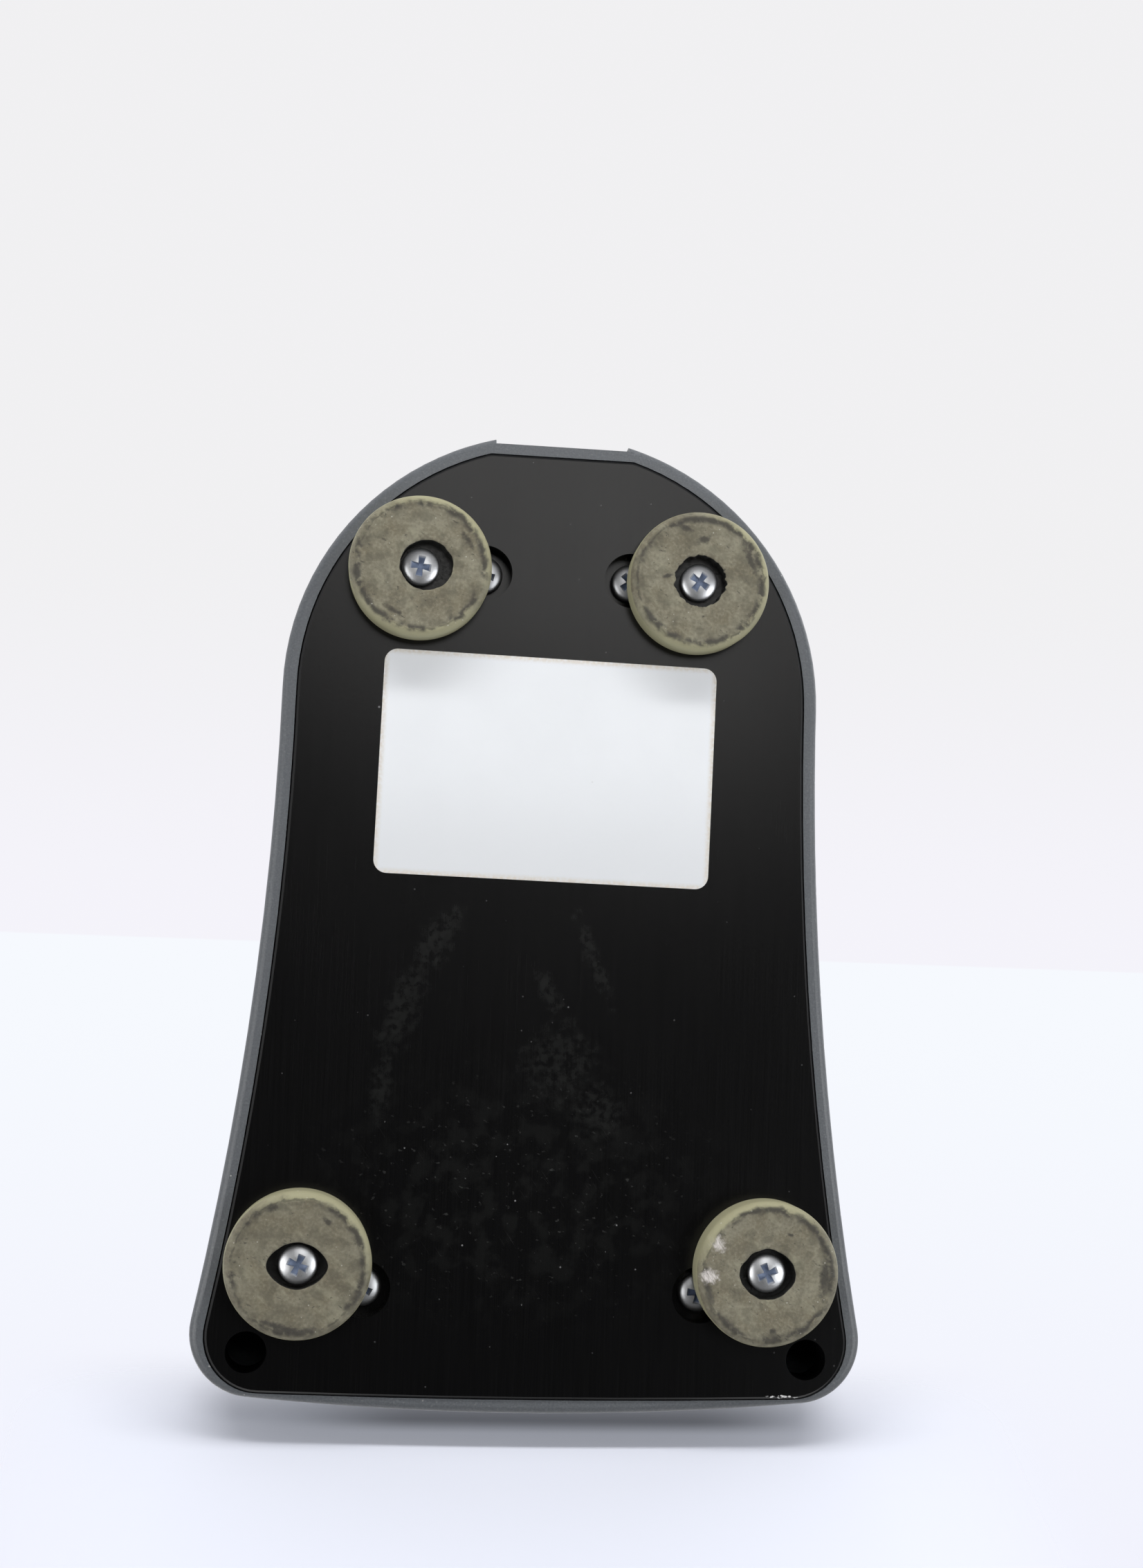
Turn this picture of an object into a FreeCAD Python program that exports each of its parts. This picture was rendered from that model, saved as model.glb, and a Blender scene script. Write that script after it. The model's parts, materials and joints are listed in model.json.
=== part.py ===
import FreeCAD, Part
import math
import os
import re

import Sketcher

# A bench vortex mixer, in millimetres: +X to the user's right, +Y to the rear, +Z up,
# with the origin on the bench under the middle of the whole body.

SIZES = {
    # feet and base plate
    "foot_height": (7.0, "rubber foot, bench to base plate"),
    "foot_radius": (16.0, "rubber foot at the plate"),
    "foot_face_radius": (16.1, "rubber foot, spread at its face"),
    "foot_edge": (1.8, "rounding of the foot's face"),
    "foot_recess_radius": (6.0, "screw recess in the foot"),
    "foot_recess_depth": (3.8, "depth of that recess"),
    "foot_bore_radius": (2.3, "screw hole in the foot"),
    "rear_foot_x": (31.8, "rear feet, from the middle"),
    "rear_foot_y": (77.1, "rear feet, along the body"),
    "front_foot_x": (52.0, "front feet, from the middle"),
    "front_foot_y": (-78.0, "front feet, along the body"),
    "plate_thickness": (8.0, "base plate"),
    "plate_gap": (0.3, "gap between plate and housing wall"),
    "plate_edge": (0.5, "broken edge of the plate"),
    "plate_bow_radius": (2300.0, "bow of the plate's front edge"),
    "plate_flat_y": (105.1, "flat at the plate's rear"),
    "plate_flat_corner": (5.0, "rounded ends of that flat"),
    "bench_hole_radius": (4.5, "open holes at the front corners"),
    "bench_hole_x": (62.5, "those holes, from the middle"),
    "bench_hole_y": (-97.8, "those holes, along the body"),
    "counterbore_radius": (6.3, "counterbores of the housing screws"),
    "counterbore_depth": (5.0, "their depth"),
    "rear_screw_x": (16.9, "rear housing screws, from the middle"),
    "rear_screw_y": (77.5, "rear housing screws, along the body"),
    "front_screw_x": (37.8, "front housing screws, from the middle"),
    "front_screw_y": (-83.8, "front housing screws, along the body"),
    # pan-head screws
    "screw_head_radius": (4.3, "pan head"),
    "screw_head_height": (2.7, "pan head"),
    "screw_head_round": (1.7, "rounding of the pan head"),
    "screw_shank_radius": (2.08, "shank"),
    "screw_hole_radius": (2.13, "hole that the shank fits"),
    "cross_arm": (4.9, "length of the cross recess"),
    "cross_width": (1.0, "width of its arms"),
    "cross_depth": (1.7, "its depth"),
    "foot_screw_length": (12.0, "foot screw under the head"),
    "housing_screw_length": (14.0, "housing screw under the head"),
    # rating label
    "label_width": (76.2, "label"),
    "label_depth": (50.8, "label"),
    "label_thickness": (0.15, "label"),
    "label_corner": (3.0, "label corners"),
    "label_x": (1.0, "label, from the middle"),
    "label_y": (33.1, "label, along the body"),
    "label_turn": (0.74, "label, degrees out of square"),
    # housing
    "rim_height": (7.6, "bench to housing rim"),
    "rear_radius": (61.5, "rear end in plan"),
    "rear_centre_y": (49.5, "middle of the rear end"),
    "side_radius": (750.0, "hollow sides in plan"),
    "corner_radius": (14.0, "front corners in plan"),
    "front_y": (-110.74, "front of the housing"),
    "bow_radius": (670.0, "bow of the front"),
    "rear_lean": (4.0, "walls, drawn in up to the top"),
    "front_lean": (4.0, "front wall, drawn in up to the top"),
    "wall": (3.2, "housing wall"),
    "housing_top": (122.0, "bench to the housing's top"),
    "deck_front_height": (33.0, "control deck at the front"),
    "deck_angle": (30.0, "slope of the control deck, degrees"),
    "tower_y": (-14.0, "front edge of the tower's top"),
    "tower_angle": (70.0, "slope of the tower's front, degrees"),
    "sweep_radius": (45.0, "hollow between deck and tower"),
    "brow_radius": (18.0, "round over the tower's front"),
    "edge_radius": (9.0, "round along the top edges"),
    "rim_round": (1.6, "round of the rim's outer edge"),
    "boss_radius": (5.0, "screw bosses"),
    "boss_hole_depth": (15.0, "screw hole in a boss"),
    "rear_boss_height": (45.0, "rear bosses above the plate"),
    "rib_thickness": (3.0, "ribs"),
    "flat_y": (107.8, "flat for the power inlet"),
    "flat_half_width": (15.4, "half the width of that flat"),
    "flat_top": (76.0, "bench to the top of that flat"),
    "flat_wall": (3.6, "wall behind that flat"),
    "head_opening_radius": (18.5, "opening under the head"),
    # control deck
    "deck_centre_y": (-76.0, "middle of the control deck"),
    "panel_thickness": (1.0, "control panel"),
    "panel_front_half": (56.0, "half the panel's front edge"),
    "panel_rear_half": (52.0, "half the panel's rear edge"),
    "panel_half_depth": (26.0, "half the panel, along the slope"),
    "panel_corner": (6.0, "panel corners"),
    "knob_x": (24.0, "knob, from the middle"),
    "knob_skirt_radius": (17.0, "knob skirt"),
    "knob_skirt_height": (4.0, "knob skirt"),
    "knob_radius": (13.5, "knob grip"),
    "knob_top_radius": (12.4, "knob grip at its top"),
    "knob_height": (19.0, "knob"),
    "knob_lift": (2.2, "knob above the deck"),
    "knob_edge": (1.2, "round of the knob's top"),
    "knob_hollow_radius": (8.0, "hollow under the knob"),
    "knob_hollow_depth": (7.0, "depth of that hollow"),
    "flute_count": (18.0, "flutes round the grip"),
    "flute_radius": (1.5, "flute"),
    "pointer_length": (9.0, "pointer line"),
    "pointer_width": (1.6, "pointer line"),
    "pointer_depth": (0.5, "pointer line, let into the knob"),
    "pot_radius": (12.0, "potentiometer"),
    "pot_depth": (15.0, "potentiometer"),
    "pot_bushing_radius": (4.6, "threaded bushing"),
    "pot_bushing_top": (5.2, "bushing above the deck"),
    "pot_shaft_radius": (3.0, "shaft"),
    "pot_shaft_fit": (0.05, "shaft in its bushing"),
    "pot_shaft_top": (17.0, "shaft above the deck"),
    "pot_nut_radius": (7.0, "nut across corners, half"),
    "pot_nut_height": (2.4, "nut"),
    "rocker_x": (-21.0, "rocker switch, from the middle"),
    "rocker_half_width": (8.8, "rocker"),
    "rocker_half_length": (12.3, "rocker"),
    "rocker_gap": (0.5, "room round the rocker"),
    "rocker_rise": (4.2, "raised ends above the pivot"),
    "rocker_dip": (2.2, "hollow middle above the pivot"),
    "rocker_drop": (2.5, "underside below the pivot"),
    "rocker_pivot_height": (1.6, "pivot above the deck"),
    "rocker_pin_radius": (1.2, "pivot pins"),
    "rocker_pin_length": (0.9, "pivot pins"),
    "rocker_swing": (12.0, "rocker, each way from level, degrees"),
    "switch_wall": (1.6, "switch body wall"),
    "switch_depth": (24.0, "switch body under the deck"),
    "switch_well": (9.0, "well under the rocker"),
    "bezel_width": (2.6, "bezel round the rocker"),
    "bezel_height": (1.8, "bezel above the panel"),
    "bezel_round": (0.8, "bezel edge"),
    # power inlet
    "inlet_half_width": (14.6, "half the inlet flange"),
    "inlet_height": (42.0, "inlet flange"),
    "inlet_flange": (2.5, "inlet flange"),
    "inlet_bottom": (23.0, "bench to the flange"),
    "inlet_body_half": (13.0, "half the inlet body"),
    "inlet_body_depth": (22.0, "inlet body behind the flat"),
    "inlet_body_inset": (2.0, "flange beyond the body, above and below"),
    "inlet_fit": (0.2, "room round the inlet body"),
    "socket_half_width": (12.2, "socket"),
    "socket_half_height": (8.2, "socket"),
    "socket_corner": (4.2, "cut corners of the socket"),
    "socket_depth": (17.0, "socket"),
    "socket_height": (50.0, "bench to the middle of the socket"),
    "blade_width": (2.0, "blade"),
    "blade_height": (4.0, "blade"),
    "blade_length": (16.0, "blade"),
    "blade_spacing": (7.0, "outer blades, from the middle"),
    "blade_step": (2.0, "earth blade above the others"),
    "blade_root": (6.0, "blade inside the socket's floor"),
    "drawer_half_width": (11.2, "fuse drawer"),
    "drawer_half_height": (4.0, "fuse drawer"),
    "drawer_depth": (22.0, "fuse drawer"),
    "drawer_height": (33.0, "bench to the middle of the drawer"),
    "drawer_fit": (0.3, "room round the drawer"),
    "drawer_notch": (2.4, "finger notch in the drawer front"),
    "fuse_radius": (2.6, "fuse caps"),
    "fuse_glass_radius": (2.3, "fuse glass"),
    "fuse_length": (20.0, "fuse"),
    "fuse_cap_length": (5.0, "fuse caps"),
    "fuse_room": (0.3, "room round the fuse"),
    # motor
    "motor_y": (45.0, "motor axis, along the body"),
    "motor_radius": (30.0, "motor can"),
    "motor_can_wall": (2.4, "motor can"),
    "motor_bottom": (37.0, "bench to the lower bracket"),
    "motor_top": (87.5, "bench to the upper bracket's top"),
    "bracket_thickness": (4.0, "end brackets"),
    "bracket_hub_radius": (9.0, "bracket hubs"),
    "bracket_hub_depth": (5.0, "bracket hubs"),
    "bracket_reach": (38.0, "bracket arms"),
    "bracket_arm": (10.0, "bracket arms"),
    "bushing_radius": (6.5, "sleeve bushings"),
    "bolt_circle": (33.0, "through bolts, from the axis"),
    "bolt_radius": (2.0, "through bolts"),
    "bolt_hole_radius": (2.1, "their holes"),
    "bolt_head_radius": (3.5, "their heads"),
    "bolt_head_height": (3.0, "their heads"),
    "bolt_thread": (8.0, "bolt in its post"),
    "post_radius": (5.0, "motor posts"),
    "post_height": (15.0, "motor posts"),
    "isolator_radius": (6.0, "rubber isolators"),
    "shaft_radius": (4.0, "motor shaft"),
    "shaft_fit": (0.04, "shaft in its bushings"),
    "shaft_bottom": (33.0, "bench to the shaft's lower end"),
    "shaft_top": (108.0, "bench to the shaft's upper end"),
    "rotor_radius": (17.2, "rotor"),
    "rotor_bottom": (50.0, "bench to the rotor"),
    "rotor_length": (28.0, "rotor"),
    "rotor_ring_depth": (2.0, "end rings of the rotor"),
    "rotor_ring_inset": (1.5, "end rings inside the rotor's edge"),
    "stator_bore": (17.8, "stator"),
    "stator_bottom": (52.0, "bench to the stator"),
    "stator_length": (24.0, "stator"),
    "winding_inner": (19.0, "end windings"),
    "winding_outer": (26.0, "end windings"),
    "winding_length": (6.5, "end windings"),
    "winding_round": (2.0, "round of the end windings"),
    "fan_bottom": (91.0, "bench to the fan"),
    "fan_radius": (23.0, "fan"),
    "fan_plate": (1.4, "fan disc"),
    "fan_hub_radius": (7.0, "fan hub"),
    "fan_height": (5.5, "fan"),
    "fan_blades": (8.0, "fan blades"),
    "fan_blade": (1.2, "fan blade"),
    # thrust end and touch switch
    "guide_post_radius": (2.4, "post inside the spring"),
    "guide_post_top": (29.5, "bench to the post's top"),
    "guide_flange_radius": (6.5, "foot of that post"),
    "guide_flange": (1.5, "foot of that post"),
    "spring_mean_radius": (4.0, "thrust spring"),
    "spring_wire_radius": (0.5, "thrust spring wire"),
    "spring_turns": (4.0, "turns of the thrust spring"),
    "spring_room": (0.05, "spring to its seats"),
    "cup_flange_radius": (7.5, "thrust cup"),
    "cup_flange": (2.0, "thrust cup"),
    "cup_radius": (5.6, "thrust cup"),
    "cup_bottom": (26.0, "bench to the thrust cup"),
    "cup_top": (36.2, "bench to the thrust cup's top"),
    "cup_bore_radius": (2.5, "bore over the guide post"),
    "cup_bore_depth": (6.0, "bore over the guide post"),
    "switch_near_x": (12.0, "touch switch, near end"),
    "switch_far_x": (26.0, "touch switch, far end"),
    "touch_half_width": (3.2, "touch switch"),
    "touch_height": (7.0, "touch switch"),
    "touch_ear": (0.8, "ears that hold the lever"),
    "touch_ear_top": (26.6, "bench to the ears' top"),
    "lever_pivot_x": (23.0, "lever pivot"),
    "lever_pivot_z": (25.4, "bench to the lever pivot"),
    "lever_tip_x": (5.6, "lever tip"),
    "lever_thickness": (0.5, "lever"),
    "lever_half_width": (2.0, "lever"),
    "lever_pin_radius": (0.7, "lever pin"),
    # eccentric and head
    "throw": (2.45, "offset of the head from the motor axis"),
    "hub_radius": (11.0, "eccentric hub"),
    "hub_bottom": (98.0, "bench to the eccentric hub"),
    "hub_top": (111.0, "bench to the hub's top"),
    "pin_radius": (3.98, "eccentric pin"),
    "pin_top": (121.5, "bench to the pin's top"),
    "pin_shoulder_radius": (5.4, "shoulder under the bearing"),
    "weight_radius": (24.0, "counterweight"),
    "weight_height": (8.0, "counterweight"),
    "set_screw_radius": (2.0, "set screw in the hub"),
    "bearing_bottom": (114.0, "bench to the head bearing"),
    "bearing_height": (7.0, "head bearing"),
    "bearing_bore": (4.0, "head bearing bore"),
    "bearing_inner": (6.1, "outside of the inner ring"),
    "bearing_outer": (8.9, "inside of the outer ring"),
    "bearing_radius": (11.0, "head bearing"),
    "ball_circle": (7.5, "middle of the balls"),
    "ball_radius": (1.4, "balls"),
    "race_radius": (1.7, "ball tracks"),
    "ball_count": (7.0, "balls"),
    "head_hub_radius": (14.0, "hub of the head platform"),
    "head_hub_bottom": (113.4, "bench to that hub"),
    "head_relief_radius": (9.0, "relief over the bearing"),
    "head_relief_depth": (3.0, "relief over the bearing"),
    "platform_radius": (33.0, "head platform"),
    "platform_bottom": (128.6, "bench to the platform"),
    "platform_thickness": (3.0, "head platform"),
    "guide_pin_radius": (3.0, "guide pins"),
    "guide_pin_circle": (24.0, "guide pins, from the axis"),
    "guide_pin_top": (133.4, "bench to the guide pins' tops"),
    "guide_pin_count": (3.0, "guide pins"),
    "guide_clearance": (0.35, "room round a guide pin at full throw"),
    "collar_radius": (30.0, "collar under the head"),
    "collar_height": (4.0, "collar under the head"),
    "collar_edge": (1.0, "edge of the collar"),
    "head_radius": (38.0, "rubber cup at its skirt"),
    "head_skirt_bottom": (124.6, "bench to the skirt"),
    "head_skirt_inner": (33.2, "inside of the skirt"),
    "head_shoulder": (137.0, "bench to the cup's shoulder"),
    "head_top": (162.0, "bench to the cup's rim"),
    "head_top_radius": (31.0, "cup at its rim"),
    "bowl_radius": (26.0, "bowl at the rim"),
    "bowl_floor_radius": (9.0, "flat of the bowl's floor"),
    "bowl_floor": (141.0, "bench to the bowl's floor"),
    "bowl_round": (8.0, "round of the bowl's floor"),
    "rim_edge": (2.2, "round of the cup's rim"),
    "skirt_edge": (1.0, "round of the cup's skirt"),
    "cup_hollow_inner": (16.0, "hollow under the cup, inside"),
    "cup_hollow_outer": (31.5, "hollow under the cup, outside"),
    "cup_hollow_top": (136.2, "bench to the top of that hollow"),
    "head_screw_recess": (5.0, "screw recess in the bowl's floor"),
    "head_screw_seat": (136.0, "bench to the seat of the head screw"),
    "head_screw_length": (11.5, "head screw under the head"),
    # control board
    "board_half_width": (32.0, "control board"),
    "board_front_y": (-55.0, "control board, front edge"),
    "board_depth": (40.0, "control board"),
    "board_thickness": (1.6, "control board"),
    "board_inset": (4.0, "standoffs inside the board's edge"),
    "standoff_radius": (3.0, "standoffs"),
    "standoff_height": (10.0, "standoffs"),
    "board_hole_radius": (1.6, "holes in the board"),
    "board_screw_radius": (1.5, "board screws"),
    "board_screw_head": (2.7, "board screw heads"),
    "board_screw_rise": (1.9, "board screw heads"),
    "board_screw_length": (6.0, "board screws"),
    "capacitor_radius": (8.0, "motor capacitor"),
    "capacitor_height": (24.0, "motor capacitor"),
    "capacitor_x": (-14.0, "motor capacitor"),
    "capacitor_y": (-28.0, "motor capacitor"),
    "sink_width": (30.0, "heat sink"),
    "sink_depth": (14.0, "heat sink"),
    "sink_height": (20.0, "heat sink"),
    "sink_x": (1.0, "heat sink"),
    "sink_y": (-36.0, "heat sink"),
    "sink_fins": (5.0, "slots of the heat sink"),
    "sink_slot": (3.0, "slot of the heat sink"),
    "sink_web": (4.0, "web of the heat sink"),
    "terminal_width": (24.0, "terminal block"),
    "terminal_depth": (8.0, "terminal block"),
    "terminal_height": (9.0, "terminal block"),
    "terminal_y": (-52.0, "terminal block"),
    "lead_radius": (2.0, "leads inside the case"),
    "lead_level": (20.0, "bench to the leads under the motor"),
}

PLATE_BOTTOM = "foot_height"
PLATE_TOP = "(foot_height + plate_thickness)"
DECK_SLOPE = "tan(deck_angle * 1deg)"
DECK_SIN = "sin(deck_angle * 1deg)"
DECK_COS = "cos(deck_angle * 1deg)"
TOWER_SLOPE = "tan(tower_angle * 1deg)"
FAR = "400"

doc = FreeCAD.newDocument("vortex_mixer")
sheet = doc.addObject("Spreadsheet::Sheet", "Sizes")
for row, (alias, (value, words)) in enumerate(SIZES.items(), start=1):
    sheet.set(f"A{row}", words)
    sheet.set(f"B{row}", str(value))
    sheet.setAlias(f"B{row}", alias)
doc.recompute()

ALIAS = re.compile(r"\b(" + "|".join(SIZES) + r")\b")
nodes = []


def bound(text):
    """The sizes named in a formula, as references to the sheet."""
    return ALIAS.sub(r"Sizes.\1", text)


def number(text):
    """What a formula comes to with the sheet's present values."""
    value = sheet.evalExpression(bound(text))
    return float(getattr(value, "Value", value))


def vector(x, y, z="0"):
    return FreeCAD.Vector(number(x), number(y), number(z))


def node(thing, label):
    """Names a finished sub-part, which also names its file."""
    thing.Label = label
    nodes.append(thing)
    return thing


# Placing


def place(thing, x="0", y="0", z="0", axis=None, angle="0"):
    """Puts a thing at a point, turned by an angle about an axis; all of it follows the sheet."""
    turn = FreeCAD.Rotation()
    if axis is not None:
        turn = FreeCAD.Rotation(FreeCAD.Vector(*axis), number(angle))
    thing.Placement = FreeCAD.Placement(vector(x, y, z), turn)
    for letter, formula in zip("xyz", (x, y, z)):
        thing.setExpression(f"Placement.Base.{letter}", bound(formula))
    if axis is not None and ALIAS.search(angle):
        thing.setExpression("Placement.Rotation.Angle", bound(angle))
    return thing


def deck_height(y):
    """Height of the control deck over a point along the body."""
    return f"(deck_front_height + ({y} - front_y) * {DECK_SLOPE})"


def on_deck(thing, x, y, z, angle="deck_angle"):
    """Puts a thing on the sloped deck: y runs up the slope and z stands off it."""
    along = f"deck_centre_y + ({y}) * {DECK_COS} - ({z}) * {DECK_SIN}"
    up = f"{deck_height('deck_centre_y')} + ({y}) * {DECK_SIN} + ({z}) * {DECK_COS}"
    return place(thing, x, along, up, (1, 0, 0), angle)


# Plain solids and their joining


def box(name, width, depth, height):
    thing = doc.addObject("Part::Box", name)
    for side, formula in zip(("Length", "Width", "Height"), (width, depth, height)):
        thing.setExpression(side, bound(formula))
    return thing


def cylinder(name, radius, height):
    thing = doc.addObject("Part::Cylinder", name)
    thing.setExpression("Radius", bound(radius))
    thing.setExpression("Height", bound(height))
    return thing


def cut(name, base, tool):
    thing = doc.addObject("Part::Cut", name)
    thing.Base = base
    thing.Tool = tool
    return thing


def fuse(name, pieces):
    thing = doc.addObject("Part::MultiFuse", name)
    thing.Shapes = pieces
    return thing


def group(name, pieces):
    """Separate solids under one name."""
    thing = doc.addObject("Part::Compound", name)
    thing.Links = pieces
    return thing


def copies(name, original, spots):
    """The same piece at several places, as one group."""
    links = []
    for index, (x, y, z) in enumerate(spots):
        link = doc.addObject("App::Link", f"{name}_copy_{index}")
        link.LinkedObject = original
        links.append(place(link, x, y, z))
    return group(name, links)


def round_about(name, make, count, circle, z, y="motor_y", start=0.0):
    """Copies of one piece, evenly spaced on a circle about an upright axis."""
    spots = []
    for index in range(int(number(count))):
        turn = f"({start} + 360 / {count} * {index}) * 1deg"
        spots.append((f"{circle} * cos({turn})", f"{y} + {circle} * sin({turn})", z))
    return copies(name, make, spots)


# Sketched bodies


def new_body(name):
    return doc.addObject("PartDesign::Body", name)


def new_sketch(body, name, role, offset="0"):
    sketch = body.newObject("Sketcher::SketchObject", name)
    plane = next(f for f in body.Origin.OriginFeatures if f.Role == role)
    sketch.AttachmentSupport = [(plane, "")]
    sketch.MapMode = "FlatFace"
    sketch.setExpression("AttachmentOffset.Base.z", bound(offset))
    return sketch


def dimension(sketch, kind, *where):
    """A driven size of a sketch: what it measures, then its formula."""
    *picks, formula = where
    index = sketch.addConstraint(Sketcher.Constraint(kind, *picks, number(formula)))
    sketch.setExpression(f"Constraints[{index}]", bound(formula))


def pin_point(sketch, edge, end, x, y):
    """Ties a point of a sketch to formulas for its two coordinates."""
    for kind, axis, formula in (("DistanceX", -2, x), ("DistanceY", -1, y)):
        if formula == "0":
            sketch.addConstraint(Sketcher.Constraint("PointOnObject", edge, end, axis))
        else:
            dimension(sketch, kind, -1, 1, edge, end, formula)


def polygon(sketch, corners):
    """A closed outline of straight edges."""
    points = [vector(x, y) for x, y in corners]
    first = sketch.GeometryCount
    count = len(points)
    for index, point in enumerate(points):
        sketch.addGeometry(Part.LineSegment(point, points[(index + 1) % count]), False)
    for index in range(count):
        following = first + (index + 1) % count
        sketch.addConstraint(Sketcher.Constraint("Coincident", first + index, 2, following, 1))
    for index, (x, y) in enumerate(corners):
        pin_point(sketch, first + index, 1, x, y)


def circles(sketch, radius, spots):
    for x, y in spots:
        ring = Part.Circle(vector(x, y), FreeCAD.Vector(0, 0, 1), number(radius))
        index = sketch.addGeometry(ring, False)
        dimension(sketch, "Radius", index, radius)
        pin_point(sketch, index, 3, x, y)


def rectangle(half_width, half_depth):
    return [
        (f"-{half_width}", f"-{half_depth}"),
        (half_width, f"-{half_depth}"),
        (half_width, half_depth),
        (f"-{half_width}", half_depth),
    ]


def pad(body, sketch, height):
    feature = body.newObject("PartDesign::Pad", f"{body.Name}_pad")
    feature.Profile = sketch
    feature.setExpression("Length", bound(height))
    return feature


def pocket(body, sketch, depth, upward=True, both_ways=False):
    """Cuts a sketch into its body, and stops if nothing was cut."""
    doc.recompute()
    before = body.Shape.Volume
    feature = body.newObject("PartDesign::Pocket", f"{body.Name}_pocket")
    feature.Profile = sketch
    feature.Type = "Length"
    feature.setExpression("Length", bound(depth))
    feature.Reversed = upward
    if both_ways:
        feature.SideType = "Symmetric"
    doc.recompute()
    if feature.Shape.Volume > before - 0.01:
        raise RuntimeError(f"{body.Name}: a pocket cuts nothing")
    return feature


def turned(name, corners):
    """A body turned about its own upright axis from a half section of radius and height."""
    body = new_body(name)
    sketch = new_sketch(body, f"{name}_section", "XZ_Plane")
    polygon(sketch, corners)
    feature = body.newObject("PartDesign::Revolution", f"{name}_turning")
    feature.Profile = sketch
    feature.ReferenceAxis = (sketch, ["V_Axis"])
    feature.Angle = 360
    doc.recompute()
    return body


def soften(body, radius, wanted, kind="Fillet"):
    """Rounds or breaks the edges of a body that pass a test."""
    doc.recompute()
    base = body.Tip
    names = [f"Edge{i}" for i, edge in enumerate(base.Shape.Edges, 1) if wanted(edge)]
    if not names:
        raise RuntimeError(f"{body.Name}: no edge to soften")
    feature = body.newObject(f"PartDesign::{kind}", f"{body.Name}_{kind.lower()}")
    feature.Base = (base, names)
    feature.setExpression("Radius" if kind == "Fillet" else "Size", bound(radius))
    doc.recompute()
    return feature


def ring_at(radius, height):
    """Test for a circular edge of one radius at one height of a turned body."""
    size = number(radius)
    level = number(height)

    def wanted(edge):
        if edge.Curve.TypeId != "Part::GeomCircle":
            return False
        return abs(edge.Curve.Radius - size) < 0.01 and abs(edge.Curve.Center.z - level) < 0.01

    return wanted


def upright(edge):
    """Test for a straight edge that stands on end."""
    reach = edge.BoundBox
    return reach.ZLength > 0.01 and reach.XLength < 0.01 and reach.YLength < 0.01


# The plan outline shared by the housing, its hollow and the base plate


def plan_outline(sketch, rear, side, corner, front, bow):
    """A round rear, two hollow sides, round front corners and a bowed front, all tangent."""
    rear_size, centre_y, side_size = number(rear), number("rear_centre_y"), number(side)
    corner_size, front_place, bow_size = number(corner), number(front), number(bow)
    side_centre = (rear_size + side_size, centre_y)
    bow_centre = (0.0, front_place + bow_size)

    # A corner's centre stands clear of the side's arc and inside the front's arc.
    reach_side = side_size + corner_size
    reach_bow = bow_size - corner_size
    across = bow_centre[0] - side_centre[0]
    along = bow_centre[1] - side_centre[1]
    apart = math.hypot(across, along)
    foot = (reach_side**2 - reach_bow**2 + apart**2) / (2 * apart)
    rise = math.sqrt(reach_side**2 - foot**2)
    options = []
    for way in (1, -1):
        x = side_centre[0] + (foot * across - way * rise * along) / apart
        y = side_centre[1] + (foot * along + way * rise * across) / apart
        options.append((x, y))
    corner_centre = min(options, key=lambda point: point[1])

    def toward(start, goal, distance):
        length = math.hypot(goal[0] - start[0], goal[1] - start[1])
        share = distance / length
        return (start[0] + (goal[0] - start[0]) * share, start[1] + (goal[1] - start[1]) * share)

    def mirrored(point):
        return (-point[0], point[1])

    def arc(centre, radius, start, end):
        first = math.atan2(start[1] - centre[1], start[0] - centre[0])
        last = math.atan2(end[1] - centre[1], end[0] - centre[0])
        if last < first:
            last += 2 * math.pi
        ring = Part.Circle(FreeCAD.Vector(*centre, 0), FreeCAD.Vector(0, 0, 1), radius)
        return sketch.addGeometry(Part.ArcOfCircle(ring, first, last), False)

    side_end = toward(corner_centre, side_centre, corner_size)
    bow_end = toward(bow_centre, corner_centre, bow_size)
    rear_end = (rear_size, centre_y)
    rear_arc = arc((0.0, centre_y), rear_size, rear_end, mirrored(rear_end))
    left_side = arc(mirrored(side_centre), side_size, mirrored(side_end), mirrored(rear_end))
    left_corner = arc(mirrored(corner_centre), corner_size, mirrored(side_end), mirrored(bow_end))
    front_arc = arc(bow_centre, bow_size, mirrored(bow_end), bow_end)
    right_corner = arc(corner_centre, corner_size, bow_end, side_end)
    right_side = arc(side_centre, side_size, rear_end, side_end)

    joins = (
        (rear_arc, 2, left_side, 2),
        (left_side, 1, left_corner, 1),
        (left_corner, 2, front_arc, 1),
        (front_arc, 2, right_corner, 1),
        (right_corner, 2, right_side, 2),
        (right_side, 1, rear_arc, 1),
    )
    for join in joins:
        sketch.addConstraint(Sketcher.Constraint("Tangent", *join))
    radii = ((rear_arc, rear), (left_side, side), (right_side, side))
    radii += ((left_corner, corner), (right_corner, corner), (front_arc, bow))
    for edge, formula in radii:
        dimension(sketch, "Radius", edge, formula)
    pin_point(sketch, rear_arc, 3, "0", "rear_centre_y")
    pin_point(sketch, front_arc, 3, "0", f"{front} + {bow}")
    for edge in (left_side, right_side):
        sketch.addConstraint(Sketcher.Constraint("Horizontal", rear_arc, 3, edge, 3))


def corners_of(x, y):
    """The left and right places of a mirrored pair."""
    return [(f"-{x}", y), (x, y)]


FOOT_SPOTS = corners_of("rear_foot_x", "rear_foot_y") + corners_of("front_foot_x", "front_foot_y")
SCREW_SPOTS = corners_of("rear_screw_x", "rear_screw_y") + corners_of("front_screw_x", "front_screw_y")
HOLE_SPOTS = corners_of("bench_hole_x", "bench_hole_y")


# Base plate


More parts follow.
